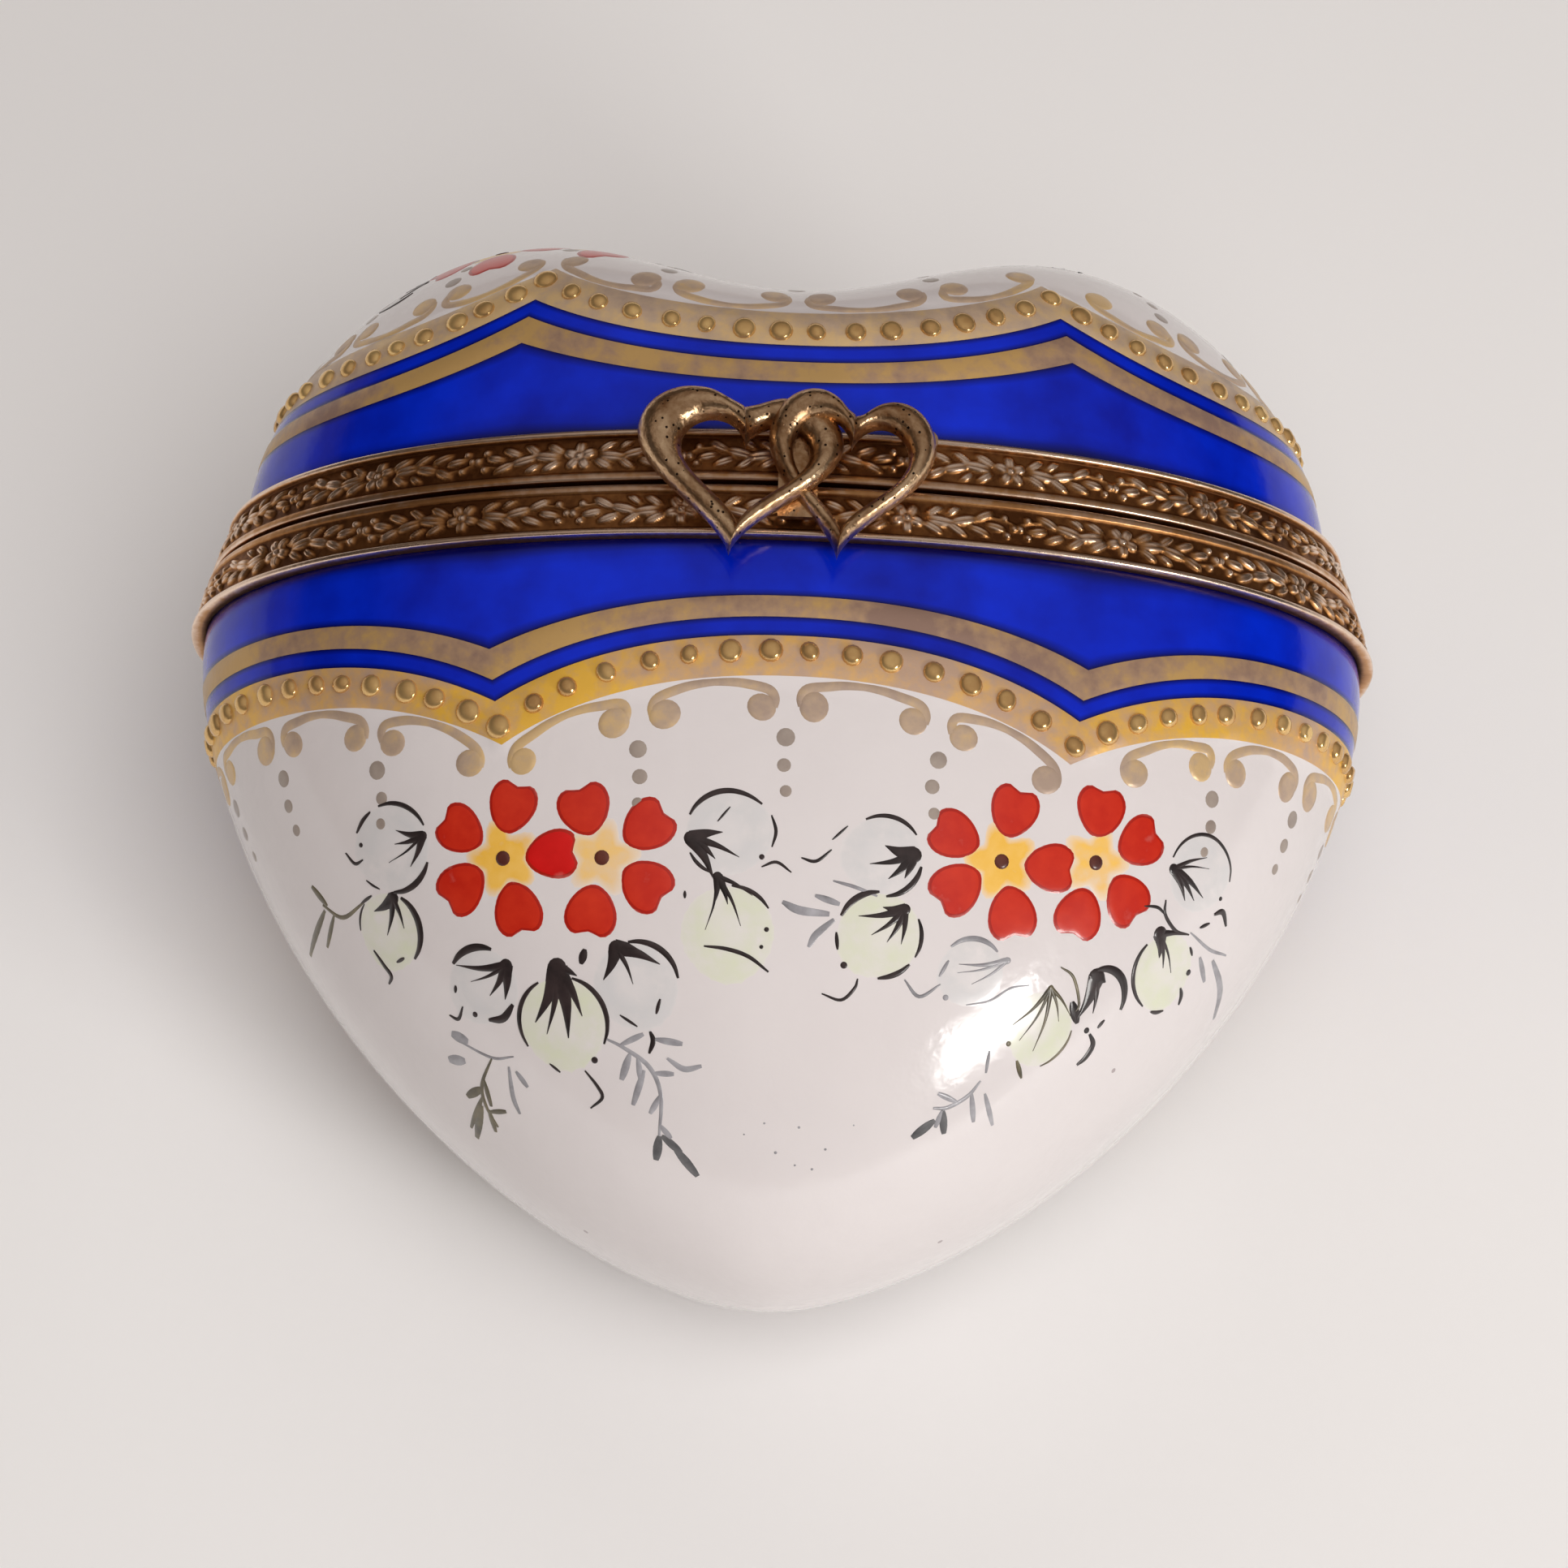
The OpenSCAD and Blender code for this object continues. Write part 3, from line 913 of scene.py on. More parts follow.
def petalOutline(sides=30):
    # a round petal, a little narrower towards the flower's centre, with a shallow notch outside
    t = np.linspace(-math.pi, math.pi, sides, endpoint=False)
    x = np.sin(t) * (0.9 + petal["swell"] * np.cos(t))
    y = np.cos(t) - petal["notch"] * np.exp(-(t / petal["notchWidth"]) ** 2)
    return np.column_stack([x * petal["width"] / 2, y * petal["height"] / 2])


# materials of a flower, in the order in which its piece holds them
red, bright, yellow, brown, rim = range(5)


def paintFlower(job, field, at, angles, dice, brightFirst, pale):
    patch = patchAt(field, *at)
    # the yellow runs out between the petals as a soft star
    around = np.radians(np.arange(0, 360, 9))
    radius, points = petal["star"]
    star = radius + points * np.cos(5 * (around - math.radians(angles[-1] + 36)))
    blot = np.column_stack([star * np.cos(around), star * np.sin(around)])
    boss(job, patch, blot, yellow, petal["starProfile"], coverAndShading=[0, 0.45 * pale, pale, pale])
    dot(job, patch, petal["pistil"], brown, lift=0.05)
    for i, angle in enumerate(angles):
        reach = petal["radius"] * dice.uniform(0.97, 1.04)
        middle = (reach * math.cos(math.radians(angle)), reach * math.sin(math.radians(angle)))
        outline = rotate(petalOutline() * dice.uniform(0.92, 1.04, 2), angle - 90 + dice.uniform(-9, 9))
        look = bright if brightFirst and i == 0 else red
        boss(job, patch, outline, [rim, rim, look, look, look], petal["profile"], middle,
             coverAndShading=[0, 0.8, 1, 1, 1, 1])


# how much wider each kind of stroke is than its own width says, and the leaflets of the sprigs
pen = {"arc": 1.4, "claw": 1.9, "root": 0.85, "sprig": 1.35, "leaflet": 1.0, "leafletWidth": 0.26}


def leafEdge(angles, base, size, scale=1.0):
    # points of a leaf's outline, which is flatter at its base and has a tip opposite it
    c = [math.cos(math.radians(angle - base)) for angle in angles]
    reach = [size * (0.95 - 0.13 * a + 0.12 * max(0, -a) ** 6) * scale for a in c]
    return [rotate([[r, 0]], angle)[0] for r, angle in zip(reach, angles)]


def leaf(at, size, base, wash, arcs, claw, **more):
    # base: direction of the leaf's base; arcs: parts of the outline as (from, to, width); claw: spikes from
    # the base as (direction, length, width); ticks: loose strokes as (width, points); dots: (x, y, radius)
    return {"at": at, "size": size, "base": base, "wash": wash, "arcs": arcs, "claw": claw, **more}


def paintLeaf(job, field, leaf):
    # a pale wash, broken ink lines round it, and a claw of dark spikes from its base
    patch = patchAt(field, *leaf["at"])
    size, base = leaf["size"], leaf["base"]
    if leaf["wash"] is not None:
        outline = leafEdge(np.arange(0, 360, 15), base, size, 1.02)
        boss(job, patch, outline, leaf["wash"], [(1.05, -0.01), (0.9, 0.006), (0.6, 0.008), (0.25, 0.008)],
             coverAndShading=[0, 0.75, 0.9, 0.5])
    ink = leaf.get("ink", inkLook)
    for first, last, width in leaf["arcs"]:
        steps = max(3, int(abs(last - first) / 14) + 1)
        line = leafEdge(np.linspace(first, last, steps), base, size)
        brush(job, patch, line, width * pen["arc"], ink, 0.35, 0.3)
    root = np.array(leaf.get("root", leafEdge([base], base, size, 0.86)[0]), float)
    for direction, length, width in leaf["claw"]:
        tip = root + rotate([[length, 0]], direction)[0]
        bend = (root + tip) / 2 + rotate([[0.05 * length, 0]], direction + 90)[0]
        brush(job, patch, [root, bend, tip], width * pen["claw"], ink, 1.0, 0.05, 1.2)
    dot(job, patch, max(width for direction, length, width in leaf["claw"]) * pen["root"], ink, root)
    for width, *points in leaf.get("ticks", ()):
        brush(job, patch, points, width * pen["arc"], ink, 0.35, 0.35)
    for x, y, radius in leaf.get("dots", ()):
        dot(job, patch, radius, ink, (x, y))


def withLeaflets(strokes):
    # a long stem carries small leaflets on alternate sides, shorter towards its end
    grown = list(strokes)
    for width, look, points in strokes:
        stem = smoothLine(points, 4)
        if len(points) < 4:
            continue
        for k in range(3, len(stem) - 1, 3):
            along = stem[k] - stem[k - 1]
            heading = math.degrees(math.atan2(along[1], along[0])) + (48 if k % 2 else -48)
            size = pen["leaflet"] * (1.1 - 0.5 * k / len(stem))
            leaflet = [stem[k] + rotate([[size * f, 0]], heading)[0] for f in (0, 0.55, 1)]
            grown.append((pen["leafletWidth"], look, leaflet))
    return grown


def paintSprigs(job, field, sprigs):
    # strokes by material, each as (width, points on the heart's face)
    strokes = [(width, look, points) for look, group in sprigs for width, *points in group]
    for width, look, points in withLeaflets(strokes):
        middle = np.mean(np.asarray(points, float), axis=0)
        face = {"field": field, "at": patchAt(field, *middle)["at"], "out": np.array([0, 0, 1.0]),
                "right": np.array([1.0, 0, 0]), "up": np.array([0, 1.0, 0])}
        line = np.asarray(points, float) - middle
        brush(job, face, line, width * pen["sprig"], look, 0.35, 0.45, 2.5, 0.02)


# materials of the leaves, in the order in which their piece holds them
greenWash, greyWash, inkLook, greySprig, oliveSprig, darkSprig = range(6)

# a garland's flowers: place, directions of the petals, whether the first is brighter, strength of yellow
leftGarland = {
    "flowers": [((-11.3, -15.4), (0, 76, 144, 208, 282), True, 1.0),
                ((-7.3, -15.6), (109, 33, -33, -103), False, 0.55)],
    "leaves": [
        leaf((-15.7, -14.4), 1.9, 10, greyWash,
             [(110, 24, 0.2), (157, 124, 0.18), (212, 233, 0.1), (254, 328, 0.26)],
             [(162, 1.3, 0.24), (186, 1.4, 0.2), (205, 2.0, 0.1), (236, 1.4, 0.24)],
             ticks=[(0.14, (-2.7, 0.1), (-2.3, -0.4), (-1.8, -0.3))], dots=[(-1.8, 0.3, 0.11)]),
        leaf((-15.9, -17.3), 1.7, 62, greenWash, [(46, -62, 0.3), (132, 176, 0.1)],
             [(195, 1.2, 0.36), (240, 1.6, 0.22), (278, 1.3, 0.18)],
             ticks=[(0.2, (-1.3, -0.8), (-1.0, -1.5), (-0.8, -2.0), (-1.1, -2.3)),
                    (0.16, (-0.2, -1.5), (0.3, -1.4)), (0.14, (-1.2, 1.2), (-0.5, 1.4))]),
        leaf((-2.5, -14.7), 1.8, 188, greyWash, [(150, 38, 0.22), (22, -14, 0.13), (211, 257, 0.15)],
             [(11, 1.3, 0.36), (-21, 2.1, 0.24), (-60, 1.9, 0.34), (-40, 1.3, 0.3)],
             ticks=[(0.1, (-0.2, 0.5), (0.3, 1.1)), (0.12, (1.6, -1.3), (2.2, -1.1), (2.8, -1.5))],
             dots=[(1.6, -0.9, 0.12)]),
        leaf((-2.2, -18.3), 2.0, 98, greenWash, [(84, 24, 0.17)],
             [(262, 1.3, 0.2), (258, 2.2, 0.1), (-69, 1.2, 0.24), (-64, 2.2, 0.13), (-28, 1.6, 0.13)],
             root=(-0.4, 2.0),
             ticks=[(0.17, (-0.9, -0.8), (0.0, -0.9), (0.9, -1.2), (1.7, -1.8)),
                    (0.12, (-1.7, 1.4), (-1.7, 1.1))], dots=[(1.6, -0.1, 0.11), (1.4, -0.8, 0.09)]),
        leaf((-11.8, -20.0), 1.7, 30, greyWash, [(144, 68, 0.32)],
             [(172, 2.3, 0.24), (194, 1.8, 0.14), (228, 1.5, 0.26), (256, 1.4, 0.36)],
             ticks=[(0.32, (-0.3, -1.5), (0.4, -1.5), (1.0, -1.0)), (0.16, (-1.5, 0.1), (-1.6, -0.2)),
                    (0.15, (-2.2, -1.1), (-1.8, -1.3), (-1.4, -0.8))], dots=[(-0.9, -1.2, 0.13)]),
        leaf((-8.7, -21.5), 2.0, 88, greenWash, [(118, 213, 0.2), (66, -38, 0.22)],
             [(239, 2.5, 0.46), (252, 2.8, 0.26), (271, 2.9, 0.5), (-69, 2.2, 0.36), (-27, 0.9, 0.3)],
             root=(0.1, 2.0),
             ticks=[(0.12, (-0.9, -1.9), (-0.5, -2.3)),
                    (0.15, (0.6, -2.3), (1.0, -3.0), (1.1, -3.5), (0.5, -3.9))], dots=[(1.1, -1.9, 0.15)]),
        leaf((-5.9, -20.3), 1.85, 116, greyWash, [(94, 0, 0.24)],
             [(-22, 1.9, 0.36), (245, 1.4, 0.36), (-67, 1.6, 0.16), (-5, 0.9, 0.4)], root=(-0.6, 1.3),
             ticks=[(0.32, (-1.9, 1.3), (-2.1, 0.7)), (0.16, (1.1, -0.8), (0.9, -1.4)),
                    (0.12, (-0.6, -1.4), (0.1, -1.9)), (0.2, (0.6, -2.1), (0.7, -2.5), (0.5, -3.0))]),
    ],
    "sprigs": [
        (oliveSprig, [(0.2, (-17.0, -16.2), (-17.9, -16.5), (-18.8, -15.8)),
                      (0.34, (-18.6, -15.9), (-19.3, -15.0)), (0.34, (-18.7, -16.0), (-19.4, -17.0)),
                      (0.26, (-18.3, -16.3), (-18.6, -17.2))]),
        (greySprig, [(0.14, (-10.6, -22.7), (-11.5, -22.6), (-12.9, -21.8)),
                     (0.5, (-12.5, -21.9), (-13.2, -21.5)), (0.5, (-12.6, -22.5), (-13.3, -22.3))]),
        (oliveSprig, [(0.2, (-11.5, -22.6), (-11.9, -23.4), (-11.7, -24.1), (-11.2, -24.8)),
                      (0.42, (-11.9, -23.5), (-12.5, -23.6)), (0.42, (-11.9, -24.0), (-12.1, -24.8)),
                      (0.3, (-11.6, -24.2), (-11.3, -24.9))]),
        (greySprig, [(0.24, (-10.8, -23.0), (-10.6, -24.0), (-10.3, -24.6)),
                     (0.26, (-10.5, -23.2), (-10.0, -23.8)),
                     (0.2, (-6.9, -22.4), (-6.1, -22.8), (-5.1, -23.5), (-4.6, -24.5), (-4.6, -25.9))]),
        (darkSprig, [(0.4, (-4.6, -25.9), (-4.7, -26.7)), (0.36, (-4.5, -25.9), (-3.7, -26.5)),
                     (0.4, (-4.0, -26.3), (-3.0, -27.3))]),
        (greySprig, [(0.34, (-5.9, -23.0), (-6.2, -23.9)), (0.3, (-5.3, -23.6), (-5.7, -24.8)),
                     (0.3, (-4.9, -22.5), (-3.8, -22.7)),
                     (0.26, (-4.4, -23.2), (-3.7, -23.6), (-3.0, -23.5))]),
    ],
}

rightGarland = {
    "flowers": [((8.8, -15.1), (0, 81, 158, 216, 288), False, 1.0),
                ((12.7, -14.6), (92, 31, -36, -100), False, 0.7)],
    "leaves": [
        leaf((4.2, -15.3), 1.7, 4, greyWash, [(125, 40, 0.18), (-14, -90, 0.24)],
             [(165, 1.2, 0.44), (195, 1.8, 0.24), (227, 1.4, 0.32), (253, 1.0, 0.32)], root=(1.0, 0.1),
             ticks=[(0.1, (-2.3, 0.5), (-1.7, 1.1)), (0.13, (-3.5, -0.3), (-2.9, -0.4), (-2.3, 0.1))]),
        leaf((4.1, -18.2), 1.8, 48, greenWash, [(165, 100, 0.26), (22, -36, 0.17), (-48, -93, 0.22)],
             [(192, 1.9, 0.24), (221, 1.7, 0.2), (245, 1.5, 0.22), (268, 1.4, 0.2), (178, 0.9, 0.3)],
             root=(0.8, 0.9),
             ticks=[(0.15, (-1.9, -0.2), (-1.8, -0.9)),
                    (0.13, (-2.3, -2.7), (-1.5, -2.9), (-1.0, -2.4), (-0.9, -2.0))],
             dots=[(-1.5, -1.5, 0.15)]),
        leaf((7.9, -19.4), 1.45, 28, greyWash, [(144, 48, 0.22)],
             [(191, 2.1, 0.16), (200, 2.2, 0.1), (219, 1.8, 0.1)], root=(1.3, 0.6), ink=greySprig,
             ticks=[(0.16, (-1.2, 0.3), (-1.5, -0.4)), (0.14, (-2.9, -0.7), (-2.2, -1.3), (-1.4, -0.7)),
                    (0.09, (-0.2, -1.4), (0.8, -1.1), (1.6, -0.5), (2.4, -0.3))],
             dots=[(-1.1, -1.2, 0.13)]),
        leaf((10.7, -20.9), 1.6, 90, greenWash, [(-2, -72, 0.11)],
             [(235, 2.2, 0.14), (252, 2.5, 0.11), (270, 2.7, 0.14), (-59, 1.5, 0.11), (-38, 1.6, 0.11)],
             root=(0.0, 1.5), ink=oliveSprig,
             ticks=[(0.2, (-0.6, -1.7), (-0.1, -2.4)),
                    (0.13, (0.2, 2.4), (0.9, 2.1), (1.5, 1.1), (1.4, 0.7))], dots=[(-1.2, -1.1, 0.12)]),
        leaf((13.1, -19.4), 1.2, 150, None, [(118, -18, 0.36)],
             [(261, 1.9, 0.44), (-75, 1.5, 0.22), (-10, 0.5, 0.5), (180, 0.4, 0.4)], root=(-0.4, 0.6),
             ticks=[(0.42, (-1.2, -0.6), (-0.6, -1.4)),
                    (0.26, (0.2, -1.7), (0.6, -2.1), (0.5, -2.7), (0.2, -3.1)),
                    (0.16, (0.7, -1.0), (0.5, -1.4))], dots=[(0.0, -1.6, 0.14)]),
        leaf((17.0, -14.1), 1.7, 182, greyWash, [(166, 2, 0.15)],
             [(28, 1.8, 0.15), (13, 1.9, 0.1), (-22, 2.1, 0.26), (-34, 1.8, 0.26), (-48, 1.5, 0.28)],
             root=(-1.2, -0.1),
             ticks=[(0.16, (-1.2, -1.4), (-1.0, -2.0), (-0.2, -2.5), (0.6, -2.5)),
                    (0.13, (-2.2, -1.9), (-1.5, -1.8), (-1.0, -2.0)),
                    (0.24, (1.7, -1.4), (2.2, -1.2), (2.7, -1.7)), (0.16, (1.1, -2.1), (1.6, -1.8))],
             dots=[(1.8, -0.7, 0.1)]),
        leaf((15.8, -17.8), 1.7, 120, greenWash, [(154, 262, 0.2), (-80, -58, 0.17), (46, 30, 0.14)],
             [(13, 1.4, 0.2), (-68, 1.0, 0.42), (-58, 1.5, 0.2), (-45, 1.9, 0.12)], root=(-0.8, 1.2),
             ticks=[(0.2, (1.5, -0.6), (1.8, -0.9), (1.9, -1.3))], dots=[(1.6, 0.1, 0.15)]),
    ],
    "sprigs": [
        (greySprig, [(0.36, (0.0, -17.3), (0.7, -17.6), (1.9, -17.7)), (0.28, (1.3, -17.0), (2.3, -17.3)),
                     (0.16, (2.0, -16.4), (2.9, -16.6), (3.8, -16.9)),
                     (0.3, (1.1, -19.0), (1.4, -18.5), (2.1, -17.9)),
                     (0.16, (16.9, -16.3), (17.8, -16.6), (18.6, -16.5)),
                     (0.34, (18.4, -15.9), (19.3, -16.1), (19.9, -16.8)),
                     (0.4, (18.0, -16.9), (18.5, -17.6), (18.4, -18.4)),
                     (0.3, (17.4, -17.0), (17.7, -17.7)),
                     (0.2, (8.3, -23.3), (7.8, -23.9), (7.0, -24.4), (6.4, -24.5))]),
        (darkSprig, [(0.36, (6.8, -24.5), (6.9, -25.3)), (0.42, (6.5, -24.9), (5.6, -25.6))]),
        (greySprig, [(0.24, (8.5, -23.7), (8.9, -24.7)), (0.16, (8.6, -22.2), (8.5, -23.0))]),
    ],
}

# stray specks of paint, as x, y and radius
specks = [(0.1, -26.5, 0.07), (-0.4, -25.5, 0.05), (1.0, -25.6, 0.06), (2.1, -26.3, 0.06), (0.9, -26.9, 0.05),
          (-1.2, -25.9, 0.04), (1.6, -27.0, 0.06), (3.2, -25.4, 0.04)]


def paintGarland(flowers, leaves, field, garland):
    dice = np.random.default_rng(3)
    for at, angles, brightFirst, pale in garland["flowers"]:
        paintFlower(flowers, field, at, angles, dice, brightFirst, pale)
    for leaf in garland["leaves"]:
        paintLeaf(leaves, field, leaf)
    paintSprigs(leaves, field, garland.get("sprigs", ()))


# the lid's flowers are placed by x and z, with a height inside it from which its top is found
top = 10.0
lidGarlands = [
    {
        "flowers": [((-12.6, top, 6.6), (0, 72, 144, 216, 288), False, 1.0),
                    ((-8.6, top, 7.4), (108, 36, -36, -108), False, 0.7)],
        "leaves": [
            leaf((-16.6, top, 5.4), 1.6, 10, greyWash, [(110, 24, 0.2), (254, 328, 0.24)],
                 [(162, 1.2, 0.24), (186, 1.3, 0.2), (236, 1.3, 0.22)]),
            leaf((-5.0, top, 8.3), 1.6, 170, greenWash, [(150, 38, 0.2), (211, 257, 0.16)],
                 [(11, 1.2, 0.3), (-21, 1.7, 0.22), (-50, 1.4, 0.26)]),
            leaf((-10.6, top, 2.4), 1.6, 268, greenWash, [(240, 150, 0.2), (-60, 30, 0.2)],
                 [(70, 1.8, 0.3), (92, 2.2, 0.36), (116, 1.8, 0.28)]),
        ],
    },
    {
        "flowers": [((8.9, top, 2.4), (0, 72, 144, 216, 288), False, 1.0),
                    ((12.9, top, 2.2), (108, 36, -36, -108), False, 0.7)],
        "leaves": [
            leaf((5.0, top, 2.8), 1.5, 20, greyWash, [(110, 24, 0.2), (254, 328, 0.24)],
                 [(172, 1.2, 0.24), (196, 1.3, 0.2), (236, 1.2, 0.22)]),
            leaf((16.8, top, 1.6), 1.5, 170, greenWash, [(150, 38, 0.2), (211, 257, 0.16)],
                 [(11, 1.2, 0.3), (-21, 1.6, 0.22), (-50, 1.3, 0.26)]),
            leaf((10.8, top, 6.6), 1.4, 92, greyWash, [(118, 213, 0.2), (66, -38, 0.2)],
                 [(250, 1.8, 0.26), (271, 2.0, 0.3), (-69, 1.7, 0.24)]),
        ],
    },
]


def paintBody(body, garlands, loose=()):
    flowers, leaves = newJob(), newJob()
    field = shells[body]["field"]
    for garland in garlands:
        paintGarland(flowers, leaves, field, garland)
    for x, y, radius in loose:
        dot(leaves, patchAt(field, x, y), radius, greySprig, lift=0.012)
    alsoBehind(flowers)
    alsoBehind(leaves)
    reds = ("petalRed", "petalBright", "centreYellow", "pistilBrown", "petalRim")
    makePiece(flowers, body + "Flowers", [paint[name] for name in reds], body)
    inks = ("leafGreen", "leafGrey", "inkBlack", "sprigGrey", "sprigOlive", "sprigDark")
    makePiece(leaves, body + "Leaves", [paint[name] for name in inks], body)


paintBody("base", [leftGarland, rightGarland], specks)
paintBody("lid", lidGarlands)
print("stage: flowers painted")

# a bezel has a stamped frieze of flowers and leaves between a plain border and a lip painted bright, as wear
# with a painted highlight
bezel = {
    "repeats": 14,
    "columnsPerRepeat": 116,
    "ground": 0.38,                  # how far the frieze's ground stands off the porcelain
    "relief": 0.2,
    "frieze": (0.54, 2.0),           # heights of the frieze above the parting line
    "friezeRows": 26,
    "gap": 0.1,
    "ledge": -2.0,
}


def bump2d(u, v, x, y, length, width, angle, rib=0.0):
    # a rounded lens at x and y, which may have a rib pressed in along it
    c, s = np.cos(np.radians(angle)), np.sin(np.radians(angle))
    a = (c * (u - x) + s * (v - y)) / length
    b = (-s * (u - x) + c * (v - y)) / width
    h = np.sqrt(np.clip(1 - a * a - b * b, 0, 1))
    return h * (1 - rib * np.exp(-(b / 0.22) ** 2))


def frieze(u, v, swing):
    # height 0..1 of the stamped pattern; u runs along one repeat from its middle, v across the band
    h = np.zeros_like(u)
    for angle in range(90, 450, 72):
        a = math.radians(angle)
        h = np.maximum(h, bump2d(u, v, 0.4 * math.cos(a), 0.4 * math.sin(a), 0.32, 0.24, angle, 0.3))
    h = np.maximum(h, 1.1 * bump2d(u, v, 0, 0, 0.17, 0.17, 0))
    for side in (-1, 1):
        w = u * side
        up = swing * side
        stem = np.exp(-((v - up * 0.3 * np.sin(w * 1.35)) / 0.06) ** 2) * (w > 0.5)
        h = np.maximum(h, 0.55 * stem)
        lobes = [(1.05, 0.38, 0.5, 0.2, 30), (1.4, 0.04, 0.62, 0.26, 8), (1.15, -0.42, 0.46, 0.18, -32),
                 (2.05, 0.40, 0.52, 0.19, 36), (2.35, -0.08, 0.6, 0.24, -14), (1.95, -0.5, 0.4, 0.16, -38),
                 (2.95, 0.34, 0.5, 0.2, 22), (3.2, -0.36, 0.5, 0.2, -28), (3.65, 0.1, 0.46, 0.2, 12)]
        for x, y, length, width, angle in lobes:
            h = np.maximum(h, bump2d(w, v, x, y * up, length, width, angle * up, 0.45))
        for x, y in ((4.1, 0.42), (4.4, 0.08), (4.05, -0.35)):
            h = np.maximum(h, 0.9 * bump2d(w, v, x, y * up, 0.17, 0.17, 0))
    return h


def makeBezel(body):
    side = shells[body]["side"]
    t = np.arange(0, 360, 0.1)
    ring = ovalRing(t, 0.0, halfWidth(0.0) + 0.5, halfDepth(0.0) + 0.5)
    closed = np.vstack([ring, ring[:1]])
    length = np.concatenate([[0], np.cumsum(np.linalg.norm(np.diff(closed, axis=0), axis=1))])
    count = bezel["repeats"] * bezel["columnsPerRepeat"]
    along = np.arange(count) * length[-1] / count
    angles = np.interp(along, length, np.append(t, 360.0))
    pitch = length[-1] / bezel["repeats"]
    middle = pitch / 2 if side < 0 else 0.0      # the lid's flowers stand between the base's
    u = (along + middle) % pitch - pitch / 2
    swing = np.where(((along + middle) // pitch).astype(int) % 2 == 0, 1.0, -1.0)
    low, high = bezel["frieze"]
    # each step of the section: how far it stands off, its height, and how worn it is, painted brighter as a
    # painted highlight and darker in the grooves as painted shade
    gap, ledge, inner = bezel["gap"], bezel["ledge"], heart["rimInset"] - 0.03
    section = [(0.02, 2.4, 0.2), (0.3, 2.4, 0.5), (0.58, 2.39, 0.8), (0.65, 2.35, 0.95), (0.66, 2.25, 0.95),
               (0.63, 2.17, 0.8), (0.52, 2.12, 0.3), (0.42, 2.08, 0.0), (0.38, 2.04, 0.0)]
    section += [(None, high - (high - low) * k / (bezel["friezeRows"] - 1), None)
                for k in range(bezel["friezeRows"])]
    section += [(0.40, 0.50, 0.08), (0.46, 0.46, 0.35), (0.51, 0.40, 0.62), (0.51, 0.26, 0.58),
                (0.49, 0.17, 0.75), (0.44, 0.12, 0.8), (0.36, gap, 0.45), (-0.2, gap, 0.4),
                (ledge + 0.1, gap, 0.6), (ledge, gap + 0.1, 0.6), (ledge, inner, 0.3), (0.02, inner, 0.2)]
    rows, coverAndShading = [], []
    for stand, y, wearAndPaintedLight in section:
        if stand is None:
            v = (y - (low + high) / 2) * np.ones(count)
            h = frieze(u, v, swing) * min(1.0, 6 * min(y - low, high - y) + 0.15)
            stand = bezel["ground"] + bezel["relief"] * h
            # higher relief is painted brighter, as wear with a painted highlight, and the ground darker, as
            # grime with painted shade
            wearAndPaintedLight = 0.12 + 0.85 * h
        level = side * y
        rows.append(ovalRing(angles, level, halfWidth(level) + stand, halfDepth(level) + stand))
        coverAndShading.append(wearAndPaintedLight * np.ones(count))
    job = newJob()
    addGrid(job, rows, 0, wrap=True, closed=True, coverAndShading=np.concatenate(coverAndShading))
    faceOutwards(makePiece(job, body + "BezelRelief", [bezelBronze], body, [body + "_bezel"]))


makeBezel("base")
makeBezel("lid")
print("stage: bezels made")

# the clasp is two cast hearts, one linked through the other
claspHearts = {
    "left": {"centre": (-2.4, -0.15), "outer": (8.4, 7.1), "inner": (5.2, 4.5), "shift": 0.25,
             "web": 2.9, "lean": 4, "side": 1},
    "right": {"centre": (2.1, -0.2), "outer": (6.8, 7.1), "inner": (4.7, 4.7), "shift": 0,
              "web": 2.7, "lean": 6, "side": -1},
    "lobeBar": 0.62,
    "pointBar": 0.42,
    "standOff": 1.65,        # the bars' middle, in front of the porcelain at the parting line
    "dip": 0.35,             # how far a bar bends back where it passes under the other heart
    "crown": 0.35,           # how much the front is rounder than the back, for each millimetre of width
    "steps": 220,
    "sides": 28,
}


def heartEdge(t, size, web=None):
    x = size[0] / 2 * np.sin(t) ** 3
    y = size[1] * (13 * np.cos(t) - 5 * np.cos(2 * t) - 2 * np.cos(3 * t) - np.cos(4 * t) + 2.5) / 28.9
    if web is not None:
        filled = web + 0.4 * np.abs(x)
        soft = np.logaddexp(y * 14, filled * 14) / 14    # the notch is filled with a soft web
        near = np.clip((np.cos(t) - 0.62) / 0.14, 0, 1)
        y = y + (soft - y) * near * near * (3 - 2 * near)
    return np.column_stack([x, y])


